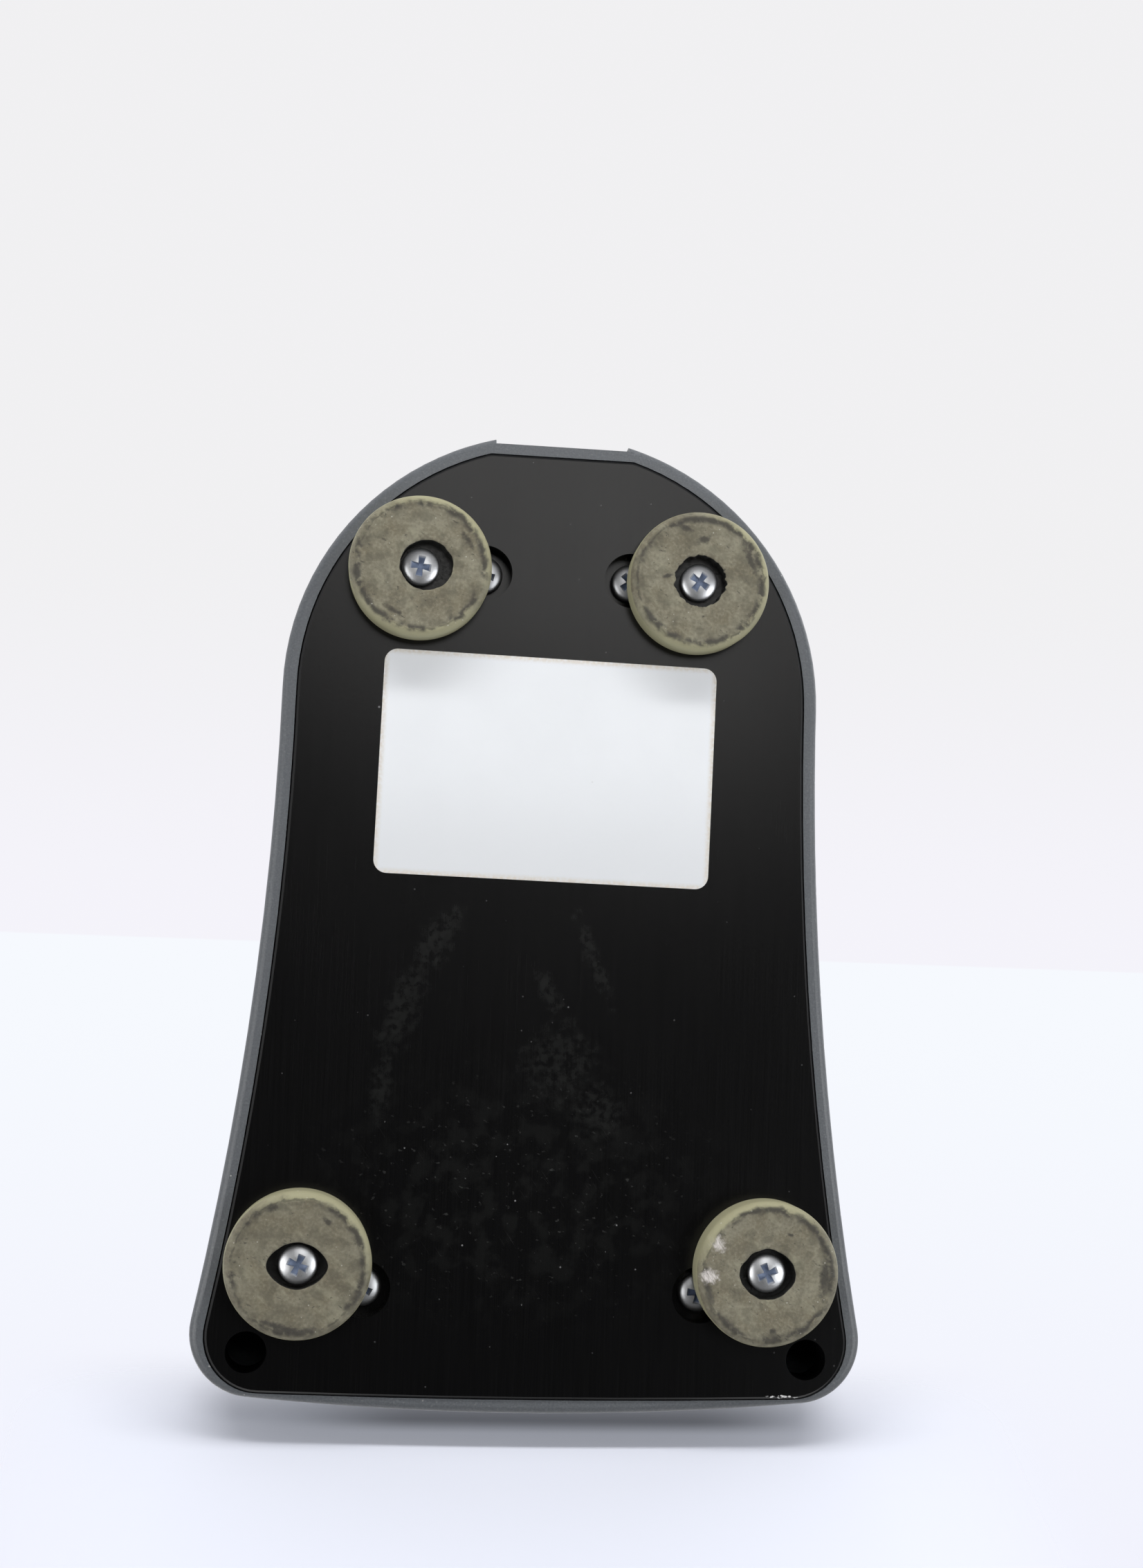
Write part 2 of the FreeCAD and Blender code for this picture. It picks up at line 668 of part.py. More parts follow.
def trim_rear(body, name, y):
    """Cuts a plate-shaped body straight across its rear."""
    flat = new_sketch(body, name, "XY_Plane", PLATE_BOTTOM)
    corners = [("-rear_radius", y), ("rear_radius", y)]
    corners += [("rear_radius", f"{y} + wall * 3"), ("-rear_radius", f"{y} + wall * 3")]
    polygon(flat, corners)
    pocket(body, flat, "plate_thickness")


def make_base_plate():
    body = new_body("base_plate")
    outline = new_sketch(body, "plate_outline", "XY_Plane", PLATE_BOTTOM)
    inset = "(wall + plate_gap)"
    plan_outline(
        outline,
        f"rear_radius - {inset}",
        f"side_radius + {inset}",
        f"corner_radius - {inset} / 2",
        f"front_y + {inset}",
        "plate_bow_radius",
    )
    pad(body, outline, "plate_thickness")

    trim_rear(body, "plate_flat", "plate_flat_y")
    flat_y = number("plate_flat_y")
    soften(body, "plate_flat_corner", lambda e: upright(e) and abs(e.BoundBox.YMin - flat_y) < 0.01)
    bottom = number(PLATE_BOTTOM)
    soften(body, "plate_edge", lambda e: e.BoundBox.ZMax < bottom + 0.01, "Chamfer")

    holes = new_sketch(body, "plate_screw_holes", "XY_Plane", PLATE_BOTTOM)
    circles(holes, "screw_hole_radius", FOOT_SPOTS + SCREW_SPOTS)
    pocket(body, holes, "plate_thickness")
    bores = new_sketch(body, "plate_counterbores", "XY_Plane", PLATE_BOTTOM)
    circles(bores, "counterbore_radius", SCREW_SPOTS)
    pocket(body, bores, "counterbore_depth")
    bench = new_sketch(body, "plate_bench_holes", "XY_Plane", PLATE_BOTTOM)
    circles(bench, "bench_hole_radius", HOLE_SPOTS)
    pocket(body, bench, "plate_thickness")
    node(body, "base_plate")


# Feet, screws and label


def make_feet():
    names = ("foot_rear_left", "foot_rear_right", "foot_front_left", "foot_front_right")
    for label, (x, y) in zip(names, FOOT_SPOTS):
        body = turned(
            label,
            [
                ("foot_recess_radius", "0"),
                ("foot_face_radius", "0"),
                ("foot_radius", "foot_height"),
                ("foot_bore_radius", "foot_height"),
                ("foot_bore_radius", "foot_recess_depth"),
                ("foot_recess_radius", "foot_recess_depth"),
            ],
        )
        soften(body, "foot_edge", ring_at("foot_face_radius", "0"))
        node(place(body, x, y), label)


def pan_screw(name, length):
    """A pan-head screw with its head down and a cross recess, standing on its head."""
    shank_end = f"screw_head_height + {length}"
    body = turned(
        f"{name}_blank",
        [
            ("0", "0"),
            ("screw_head_radius", "0"),
            ("screw_head_radius", "screw_head_height"),
            ("screw_shank_radius", "screw_head_height"),
            ("screw_shank_radius", f"{shank_end} - screw_shank_radius / 2"),
            ("screw_shank_radius / 2", shank_end),
            ("0", shank_end),
        ],
    )
    soften(body, "screw_head_round", ring_at("screw_head_radius", "0"))
    arm_x = box(f"{name}_arm_x", "cross_arm", "cross_width", "cross_depth")
    place(arm_x, "-cross_arm / 2", "-cross_width / 2")
    arm_y = box(f"{name}_arm_y", "cross_width", "cross_arm", "cross_depth")
    place(arm_y, "-cross_width / 2", "-cross_arm / 2")
    cross = fuse(f"{name}_cross", [arm_x, arm_y])
    return cut(f"{name}_screw_single", body, cross)


def make_screws():
    foot_screw = pan_screw("foot", "foot_screw_length")
    foot_level = "foot_recess_depth - screw_head_height"
    spots = [(x, y, foot_level) for x, y in FOOT_SPOTS]
    node(copies("foot_screws", foot_screw, spots), "foot_screws")
    housing_screw = pan_screw("housing", "housing_screw_length")
    housing_level = f"{PLATE_BOTTOM} + counterbore_depth - screw_head_height"
    spots = [(x, y, housing_level) for x, y in SCREW_SPOTS]
    node(copies("housing_screws", housing_screw, spots), "housing_screws")


def make_label():
    body = new_body("rating_label")
    outline = new_sketch(body, "label_outline", "XY_Plane")
    polygon(outline, rectangle("label_width / 2", "label_depth / 2"))
    pad(body, outline, "label_thickness")
    soften(body, "label_corner", upright)
    level = f"{PLATE_BOTTOM} - label_thickness"
    node(place(body, "label_x", "label_y", level, (0, 0, 1), "label_turn"), "rating_label")


# Housing


def housing_form(name, inset, bow, edge):
    """The housing's form, drawn in all round by an inset: walls, then the swept top."""
    body = new_body(name)
    low = new_sketch(body, f"{name}_low", "XY_Plane", "rim_height")
    front = f"(front_y + {inset})"
    corner = f"corner_radius - {inset} / 2"
    plan_outline(low, f"rear_radius - {inset}", f"side_radius + {inset}", corner, front, bow)
    high = new_sketch(body, f"{name}_high", "XY_Plane", "housing_top")
    drawn = f"rear_radius - {inset} - rear_lean"
    plan_outline(high, drawn, f"side_radius + {inset}", corner, f"({front} + front_lean)", bow)
    walls = body.newObject("PartDesign::AdditiveLoft", f"{name}_walls")
    walls.Profile = low
    walls.Sections = [high]
    walls.Ruled = True
    doc.recompute()

    # Seen from the side: deck, then tower front, then the level top.
    deck_drop = f"({inset} / {DECK_COS})"
    tower_back = f"({inset} / sin(tower_angle * 1deg))"
    top = f"(housing_top - {inset})"
    deck_front = f"(deck_front_height - {deck_drop})"
    tower = f"(tower_y + {tower_back} - {inset} / {TOWER_SLOPE})"
    knee = f"(({deck_front} - {top} - front_y * {DECK_SLOPE} + {tower} * {TOWER_SLOPE})"
    knee += f" / ({TOWER_SLOPE} - {DECK_SLOPE}))"
    start = "(front_y - 30)"
    end = "(rear_centre_y + rear_radius + 30)"
    above = "(housing_top + 60)"
    side_view = new_sketch(body, f"{name}_side_view", "YZ_Plane")
    polygon(
        side_view,
        [
            (start, f"{deck_front} + ({start} - front_y) * {DECK_SLOPE}"),
            (knee, f"{deck_front} + ({knee} - front_y) * {DECK_SLOPE}"),
            (tower, top),
            (end, top),
            (end, above),
            (start, above),
        ],
    )
    pocket(body, side_view, FAR, both_ways=True)

    def across_at(y):
        place_y = number(y)
        return lambda e: e.BoundBox.XLength > 40 and abs(e.BoundBox.YMin - place_y) < 0.01

    soften(body, "sweep_radius", across_at(knee))
    soften(body, "brow_radius", across_at(tower))
    foot = number("rim_height") + 0.01

    def top_edge(e):
        level_run = e.BoundBox.YLength < 0.01 and e.BoundBox.XLength > 40
        return e.BoundBox.ZMin > foot and not level_run

    soften(body, edge, top_edge)
    return body


def boss(name, x, y, height):
    return place(cylinder(name, "boss_radius", height), x, y, PLATE_TOP)


def make_housing():
    outer = housing_form("housing_outside", "0", "bow_radius", "edge_radius")
    rim = number("rim_height")
    soften(outer, "rim_round", lambda e: e.BoundBox.ZMax < rim + 0.01)
    hollow = housing_form("housing_hollow", "wall", "plate_bow_radius", "edge_radius - wall")

    # Bosses over the screws: the front pair reaches the deck, the rear pair hangs on ribs.
    inner_deck = f"({deck_height('front_screw_y')} - wall)"
    fillings = []
    for side, (x, y) in zip(("left", "right"), corners_of("front_screw_x", "front_screw_y")):
        fillings.append(boss(f"front_boss_{side}", x, y, f"{inner_deck} - {PLATE_TOP}"))
    for side, (x, y) in zip(("left", "right"), corners_of("rear_screw_x", "rear_screw_y")):
        fillings.append(boss(f"rear_boss_{side}", x, y, "rear_boss_height"))
        rib = box(f"rear_rib_{side}", "rib_thickness", f"flat_y - flat_wall / 2 - ({y})", "rear_boss_height")
        fillings.append(place(rib, f"{x} - rib_thickness / 2", y, PLATE_TOP))
    backing_width = "flat_half_width + rear_screw_x"
    backing = box("flat_backing", f"2 * ({backing_width})", "flat_wall", f"flat_top + wall - {PLATE_TOP}")
    fillings.append(place(backing, f"-({backing_width})", "flat_y - flat_wall", PLATE_TOP))
    # The rim goes on across the rear, behind the plate's flat edge.
    sill_y = "(plate_flat_y + plate_gap)"
    sill_height = f"{PLATE_TOP} - rim_height + wall"
    sill = box("rear_sill", f"2 * ({backing_width})", f"flat_y - {sill_y}", sill_height)
    fillings.append(place(sill, f"-({backing_width})", sill_y, "rim_height"))
    bulk = doc.addObject("Part::MultiCommon", "housing_fillings")
    bulk.Shapes = [fuse("filling_pieces", fillings), outer]
    shell = fuse("housing_walls", [cut("housing_shell", outer, hollow), bulk])

    room = new_body("plate_room")
    room_outline = new_sketch(room, "plate_room_outline", "XY_Plane", PLATE_BOTTOM)
    plan_outline(
        room_outline,
        "rear_radius - wall",
        "side_radius + wall",
        "corner_radius - wall / 2",
        "front_y + wall",
        "plate_bow_radius",
    )
    pad(room, room_outline, "plate_thickness")
    trim_rear(room, "plate_room_flat", sill_y)

    openings = [room]
    flat = box("flat_cut", "2 * flat_half_width", "wall * 4", "flat_top")
    openings.append(place(flat, "-flat_half_width", "flat_y"))
    for index, (x, y) in enumerate(SCREW_SPOTS):
        hole = cylinder(f"boss_hole_{index}", "screw_hole_radius", "boss_hole_depth")
        openings.append(place(hole, x, y, PLATE_TOP))
    opening = cylinder("head_opening", "head_opening_radius", "wall * 4")
    openings.append(place(opening, "0", "motor_y", "housing_top - wall * 2"))
    for spot in range(int(number("guide_pin_count"))):
        hole = cylinder(f"guide_hole_{spot}", "guide_pin_radius", "wall * 4")
        x, y = guide_pin_spot(spot)
        openings.append(place(hole, x, y, "housing_top - wall * 2"))
    bushing = cylinder("bushing_hole", "pot_bushing_radius", "wall * 4")
    openings.append(on_deck(bushing, "knob_x", "0", "-wall * 2"))
    openings.append(switch_block("switch_hole", "-wall * 2", "wall * 4"))
    inlet = box("inlet_hole", "2 * (inlet_body_half + inlet_fit)", "wall * 6", INLET_HOLE_HEIGHT)
    level = "inlet_bottom + inlet_body_inset - inlet_fit"
    openings.append(place(inlet, "-inlet_body_half - inlet_fit", "flat_y - wall * 3", level))
    node(cut("housing", shell, fuse("housing_openings", openings)), "housing")


INLET_HOLE_HEIGHT = "inlet_height - 2 * inlet_body_inset + 2 * inlet_fit"
SWITCH_HALF_WIDTH = "(rocker_half_width + rocker_gap + switch_wall)"
SWITCH_HALF_LENGTH = "(rocker_half_length + rocker_gap + switch_wall)"


def switch_block(name, start, height):
    """A block of the rocker switch's outer size, from one height off the deck."""
    block = box(name, f"2 * {SWITCH_HALF_WIDTH}", f"2 * {SWITCH_HALF_LENGTH}", height)
    return on_deck(block, f"rocker_x - {SWITCH_HALF_WIDTH}", f"-{SWITCH_HALF_LENGTH}", start)


def guide_pin_spot(index, centre_x="0"):
    turn = f"(90 + 360 / guide_pin_count * {index}) * 1deg"
    return (f"{centre_x} + guide_pin_circle * cos({turn})", f"motor_y + guide_pin_circle * sin({turn})")


# Control deck


def make_panel():
    body = new_body("panel_sheet")
    outline = new_sketch(body, "panel_outline", "XY_Plane")
    polygon(
        outline,
        [
            ("-panel_front_half", "-panel_half_depth"),
            ("panel_front_half", "-panel_half_depth"),
            ("panel_rear_half", "panel_half_depth"),
            ("-panel_rear_half", "panel_half_depth"),
        ],
    )
    pad(body, outline, "panel_thickness")
    soften(body, "panel_corner", upright)
    on_deck(body, "0", "0", "0")
    hole = cylinder("panel_bushing_hole", "pot_bushing_radius", "panel_thickness * 4")
    on_deck(hole, "knob_x", "0", "-panel_thickness")
    window = switch_block("panel_switch_hole", "-panel_thickness", "panel_thickness * 4")
    node(cut("control_panel", body, fuse("panel_openings", [hole, window])), "control_panel")


def make_potentiometer():
    body = turned(
        "speed_pot",
        [
            ("pot_shaft_radius + pot_shaft_fit", "-wall - pot_depth / 2"),
            ("pot_shaft_radius + pot_shaft_fit", "pot_bushing_top"),
            ("pot_bushing_radius", "pot_bushing_top"),
            ("pot_bushing_radius", "-wall"),
            ("pot_radius", "-wall"),
            ("pot_radius", "-wall - pot_depth"),
            ("0", "-wall - pot_depth"),
            ("0", "-wall - pot_depth / 2"),
        ],
    )
    node(on_deck(body, "knob_x", "0", "0"), "speed_pot")

    hexagon = doc.addObject("Part::Prism", "nut_blank")
    hexagon.Polygon = 6
    hexagon.setExpression("Circumradius", bound("pot_nut_radius"))
    hexagon.setExpression("Height", bound("pot_nut_height"))
    on_deck(hexagon, "knob_x", "0", "panel_thickness")
    hole = cylinder("nut_hole", "pot_bushing_radius", "pot_nut_height * 3")
    on_deck(hole, "knob_x", "0", "0")
    node(cut("pot_nut", hexagon, hole), "pot_nut")

    length = "pot_shaft_top + wall + pot_depth / 2 - pot_shaft_fit"
    shaft = cylinder("pot_shaft", "pot_shaft_radius", length)
    node(on_deck(shaft, "knob_x", "0", "-wall - pot_depth / 2 + pot_shaft_fit"), "pot_shaft")


def make_knob():
    top = "(knob_lift + knob_height)"
    roof = "(knob_lift + knob_hollow_depth)"
    body = turned(
        "knob_blank",
        [
            ("knob_hollow_radius", "knob_lift"),
            ("knob_skirt_radius", "knob_lift"),
            ("knob_skirt_radius - knob_edge / 2", "knob_lift + knob_skirt_height"),
            ("knob_radius", "knob_lift + knob_skirt_height"),
            ("knob_top_radius", top),
            ("0", top),
            ("0", "pot_shaft_top"),
            ("pot_shaft_radius", "pot_shaft_top"),
            ("pot_shaft_radius", roof),
            ("knob_hollow_radius", roof),
        ],
    )
    soften(body, "knob_edge", ring_at("knob_top_radius", top))
    on_deck(body, "knob_x", "0", "0")
    tools = []
    for index in range(int(number("flute_count"))):
        turn = f"360 / flute_count * ({index} + 0.5) * 1deg"
        reach = "(knob_radius + flute_radius / 2)"
        flute = cylinder(f"flute_{index}", "flute_radius", "knob_height * 2")
        x = f"knob_x + {reach} * cos({turn})"
        level = "knob_lift + knob_skirt_height + knob_edge"
        tools.append(on_deck(flute, x, f"{reach} * sin({turn})", level))
    groove = pointer_block("pointer_groove", "pointer_depth * 2")
    node(cut("speed_knob", body, fuse("knob_cuts", tools + [groove])), "speed_knob")
    node(pointer_block("knob_pointer", "pointer_depth"), "knob_pointer")


def pointer_block(name, height):
    block = box(name, "pointer_width", "pointer_length", height)
    start = "knob_top_radius - knob_edge - pointer_length"
    return on_deck(block, "knob_x - pointer_width / 2", start, "knob_lift + knob_height - pointer_depth")


def make_rocker_switch():
    core = switch_block("switch_core", "-switch_depth", "switch_depth + panel_thickness + bezel_height")
    rim = new_body("switch_bezel")
    outline = new_sketch(rim, "bezel_outline", "XY_Plane")
    half_width = f"({SWITCH_HALF_WIDTH} + bezel_width)"
    half_length = f"({SWITCH_HALF_LENGTH} + bezel_width)"
    polygon(outline, rectangle(half_width, half_length))
    pad(rim, outline, "bezel_height")
    soften(rim, "bezel_width", upright)
    crown = number("bezel_height")
    soften(rim, "bezel_round", lambda e: e.BoundBox.ZMin > crown - 0.01)
    on_deck(rim, "rocker_x", "0", "panel_thickness")
    well_width = "(rocker_half_width + rocker_gap)"
    well_length = "(rocker_half_length + rocker_gap)"
    well = box("switch_well", f"2 * {well_width}", f"2 * {well_length}", "switch_depth")
    on_deck(well, f"rocker_x - {well_width}", f"-{well_length}", "rocker_pivot_height - switch_well")
    pin_span = "(rocker_half_width + rocker_pin_length)"
    pin_hole = "rocker_pin_radius + pot_shaft_fit"
    pin_room = cylinder("switch_pin_room", pin_hole, f"2 * {pin_span} + rocker_gap")
    across_deck(pin_room, f"rocker_x - {pin_span} - rocker_gap / 2")
    holes = fuse("switch_hollow", [well, pin_room])
    node(cut("switch_body", fuse("switch_solid", [core, rim]), holes), "switch_body")

    body = new_body("rocker_blank")
    section = new_sketch(body, "rocker_section", "YZ_Plane")
    ends = "rocker_half_length - rocker_gap"
    polygon(
        section,
        [
            ("-rocker_half_length", "-rocker_drop"),
            ("rocker_half_length", "-rocker_drop"),
            (ends, "rocker_rise"),
            ("0", "rocker_dip"),
            (f"-({ends})", "rocker_rise"),
        ],
    )
    block = pad(body, section, "2 * rocker_half_width")
    block.SideType = "Symmetric"
    doc.recompute()
    soften(body, "bezel_round / 2", lambda e: e.BoundBox.ZMin > 0 and e.BoundBox.XLength > 1)
    # Switched off: the front end is down.
    on_deck(body, "rocker_x", "0", "rocker_pivot_height", "deck_angle + rocker_swing")
    pins = cylinder("rocker_pins", "rocker_pin_radius", f"2 * {pin_span}")
    across_deck(pins, f"rocker_x - {pin_span}")
    node(fuse("rocker", [body, pins]), "rocker")


def across_deck(thing, x):
    """Lays a cylinder along X through the rocker's pivot."""
    along = f"deck_centre_y - rocker_pivot_height * {DECK_SIN}"
    up = f"{deck_height('deck_centre_y')} + rocker_pivot_height * {DECK_COS}"
    return place(thing, x, along, up, (0, 1, 0), "90")


# Power inlet


def make_inlet():
    flange = new_body("inlet_flange")
    outline = new_sketch(flange, "flange_outline", "XY_Plane")
    polygon(outline, rectangle("inlet_half_width", "inlet_height / 2"))
    pad(flange, outline, "inlet_flange")
    soften(flange, "inlet_flange", upright)
    place(flange, "0", "flat_y + inlet_flange", "inlet_bottom + inlet_height / 2", (1, 0, 0), "90")
    core_height = "inlet_height - 2 * inlet_body_inset"
    core = box("inlet_core", "2 * inlet_body_half", "inlet_body_depth + inlet_flange / 2", core_height)
    place(core, "-inlet_body_half", "flat_y - inlet_body_depth", "inlet_bottom + inlet_body_inset")

    socket = new_body("inlet_socket")
    mouth = new_sketch(socket, "socket_outline", "XY_Plane")
    polygon(
        mouth,
        [
            ("-socket_half_width", "-socket_half_height"),
            ("socket_half_width", "-socket_half_height"),
            ("socket_half_width", "socket_half_height - socket_corner"),
            ("socket_half_width - socket_corner", "socket_half_height"),
            ("-socket_half_width + socket_corner", "socket_half_height"),
            ("-socket_half_width", "socket_half_height - socket_corner"),
        ],
    )
    pad(socket, mouth, "socket_depth + inlet_flange")
    place(socket, "0", "flat_y + 2 * inlet_flange", "socket_height", (1, 0, 0), "90")

    room_width = "(drawer_half_width + drawer_fit)"
    room_height = "(drawer_half_height + drawer_fit)"
    room_depth = "(drawer_depth + drawer_fit)"
    room = box("drawer_room", f"2 * {room_width}", f"{room_depth} + inlet_flange", f"2 * {room_height}")
    start = f"flat_y + inlet_flange - {room_depth}"
    place(room, f"-{room_width}", start, f"drawer_height - {room_height}")
    blades = [blade(f"blade_room_{i}", i) for i in range(3)]
    hollow = fuse("inlet_hollow", [socket, room] + blades)
    node(cut("power_inlet", fuse("inlet_solid", [flange, core]), hollow), "power_inlet")
    node(group("inlet_blades", [blade(f"inlet_blade_{i}", i) for i in range(3)]), "inlet_blades")


def blade(name, index):
    """One of three blades, rooted in the socket's floor; the middle one stands higher."""
    thing = box(name, "blade_width", "blade_length", "blade_height")
    x = f"{index - 1} * blade_spacing - blade_width / 2"
    level = "socket_height - blade_height / 2 - blade_step / 2"
    if index == 1:
        level += " + blade_step"
    return place(thing, x, "flat_y + inlet_flange - socket_depth - blade_root", level)


def make_fuse_drawer():
    face = "(flat_y + inlet_flange)"
    block = box("drawer_block", "2 * drawer_half_width", "drawer_depth", "2 * drawer_half_height")
    place(block, "-drawer_half_width", f"{face} - drawer_depth", "drawer_height - drawer_half_height")
    trough = "(fuse_radius + fuse_room)"
    room = box("fuse_trough", "fuse_length + 2 * fuse_room", f"2 * {trough}", "4 * drawer_half_height")
    trough_y = f"{face} - drawer_depth + 2 * fuse_radius"
    place(room, "-fuse_length / 2 - fuse_room", f"{trough_y} - {trough}", f"drawer_height - {trough}")
    notch = box("drawer_notch", "drawer_half_width", "drawer_notch", "drawer_notch")
    notch_level = "drawer_height + drawer_half_height - drawer_notch"
    place(notch, "-drawer_half_width / 2", f"{face} - drawer_notch", notch_level)
    node(cut("fuse_drawer", block, fuse("drawer_cuts", [room, notch])), "fuse_drawer")

    glass_length = "fuse_length - 2 * fuse_cap_length"
    glass = cylinder("fuse_glass", "fuse_glass_radius", glass_length)
    node(place(glass, f"-({glass_length}) / 2", trough_y, "drawer_height", (0, 1, 0), "90"), "fuse_glass")
    caps = []
    for side, x in (("left", "-fuse_length / 2"), ("right", "fuse_length / 2 - fuse_cap_length")):
        cap = cylinder(f"fuse_cap_{side}", "fuse_radius", "fuse_cap_length")
        caps.append(place(cap, x, trough_y, "drawer_height", (0, 1, 0), "90"))
    node(group("fuse_caps", caps), "fuse_caps")


# Motor


def on_axis(body, x="0"):
    return place(body, x, "motor_y", "0")


def ring_section(inner, outer, bottom, top):
    return [(inner, bottom), (outer, bottom), (outer, top), (inner, top)]


def bolt_row(name, radius, height, level):
    single = cylinder(f"{name}_single", radius, height)
    return round_about(name, single, "4", "bolt_circle", level)


def make_bracket(label, bottom, hub_bottom):
    """An end bracket: a disc with four arms, a hub and holes for bushing and bolts."""
    disc = place(cylinder(f"{label}_disc", "motor_radius", "bracket_thickness"), "0", "motor_y", bottom)
    pieces = [disc]
    for name, width, depth in (
        ("arm_x", "2 * bracket_reach", "bracket_arm"),
        ("arm_y", "bracket_arm", "2 * bracket_reach"),
    ):
        arm = box(f"{label}_{name}", width, depth, "bracket_thickness")
        pieces.append(place(arm, f"-({width}) / 2", f"motor_y - ({depth}) / 2", bottom))
    hub_height = "bracket_hub_depth + bracket_thickness"
    hub = cylinder(f"{label}_hub", "bracket_hub_radius", hub_height)
    pieces.append(place(hub, "0", "motor_y", hub_bottom))
    bore = place(cylinder(f"{label}_bore", "bushing_radius", hub_height), "0", "motor_y", hub_bottom)
    holes = bolt_row(f"{label}_holes", "bolt_hole_radius", "bracket_thickness", bottom)
    tools = fuse(f"{label}_bores", [bore, holes])
    node(cut(label, fuse(f"{label}_solid", pieces), tools), label)


def make_motor():
    upper = "(motor_top - bracket_thickness)"
    lower = "(motor_bottom + bracket_thickness)"
    make_bracket("motor_upper_bracket", upper, f"{upper} - bracket_hub_depth")
    make_bracket("motor_lower_bracket", "motor_bottom", "motor_bottom")
    can = turned("motor_can", ring_section("motor_radius - motor_can_wall", "motor_radius", lower, upper))
    node(on_axis(can), "motor_can")

    hub_height = "(bracket_hub_depth + bracket_thickness)"
    bushings = []
    for name, bottom in (("upper", f"{upper} - bracket_hub_depth"), ("lower", "motor_bottom")):
        bore = "shaft_radius + shaft_fit"
        section = ring_section(bore, "bushing_radius", bottom, f"{bottom} + {hub_height}")
        ring = turned(f"bushing_{name}", section)
        bushings.append(on_axis(ring))
    node(group("motor_bushings", bushings), "motor_bushings")

    stator_top = "(stator_bottom + stator_length)"
    outer = "motor_radius - motor_can_wall"
    pack = turned("stator", ring_section("stator_bore", outer, "stator_bottom", stator_top))
    node(on_axis(pack), "stator_pack")
    windings = []
    for name, bottom in (("upper", stator_top), ("lower", "(stator_bottom - winding_length)")):
        top = f"({bottom} + winding_length)"
        coil = turned(f"winding_{name}", ring_section("winding_inner", "winding_outer", bottom, top))
        free_end = top if name == "upper" else bottom
        soften(coil, "winding_round", ring_at("winding_outer", free_end))
        soften(coil, "winding_round", ring_at("winding_inner", free_end))
        windings.append(on_axis(coil))
    node(group("stator_windings", windings), "stator_windings")

    post_top = f"({PLATE_TOP} + post_height)"
    solid = bolt_row("post_blanks", "post_radius", "post_height", PLATE_TOP)
    drilled = bolt_row("post_holes", "bolt_radius", "bolt_thread", f"{post_top} - bolt_thread")
    node(cut("motor_posts", solid, drilled), "motor_posts")
    pad_height = f"(motor_bottom - {post_top})"
    isolator = turned("isolator", ring_section("bolt_hole_radius", "isolator_radius", "0", pad_height))
    node(round_about("motor_isolators", isolator, "4", "bolt_circle", post_top), "motor_isolators")
    bolt_end = f"({post_top} - bolt_thread)"
    bolt = turned(
        "motor_bolt",
        [
            ("0", bolt_end),
            ("bolt_radius", bolt_end),
            ("bolt_radius", "motor_top"),
            ("bolt_head_radius", "motor_top"),
            ("bolt_head_radius", "motor_top + bolt_head_height"),
            ("0", "motor_top + bolt_head_height"),
        ],
    )
    node(round_about("motor_bolts", bolt, "4", "bolt_circle", "0"), "motor_bolts")


def make_rotor():
    shaft = cylinder("motor_shaft", "shaft_radius", "shaft_top - shaft_bottom")
    node(place(shaft, "0", "motor_y", "shaft_bottom"), "motor_shaft")
    top = "(rotor_bottom + rotor_length)"
    edge = "(rotor_radius - rotor_ring_inset)"
    core = turned(
        "rotor_core",
        [
            ("shaft_radius", "rotor_bottom"),
            (edge, "rotor_bottom"),
            (edge, "rotor_bottom + rotor_ring_depth"),
            ("rotor_radius", "rotor_bottom + rotor_ring_depth"),
            ("rotor_radius", f"{top} - rotor_ring_depth"),
            (edge, f"{top} - rotor_ring_depth"),
            (edge, top),
            ("shaft_radius", top),
        ],
    )
    node(on_axis(core), "rotor_core")

    fan_top = "fan_bottom + fan_height"
    wheel = turned(
        "fan_wheel",
        [
            ("shaft_radius", "fan_bottom"),
            ("fan_radius", "fan_bottom"),
            ("fan_radius", "fan_bottom + fan_plate"),
            ("fan_hub_radius", "fan_bottom + fan_plate"),
            ("fan_hub_radius", fan_top),
            ("shaft_radius", fan_top),
        ],
    )
    pieces = [on_axis(wheel)]
    for index in range(int(number("fan_blades"))):
        turn = f"360 / fan_blades * {index}"
        length = "fan_radius - fan_hub_radius"
        vane = box(f"fan_blade_{index}", length, "fan_blade", "fan_height")
        reach = "(fan_hub_radius - fan_blade)"
        x = f"{reach} * cos({turn} * 1deg)"
        y = f"motor_y + {reach} * sin({turn} * 1deg)"
        pieces.append(place(vane, x, y, "fan_bottom", (0, 0, 1), turn))
    node(fuse("cooling_fan", pieces), "cooling_fan")


# Thrust end and touch switch


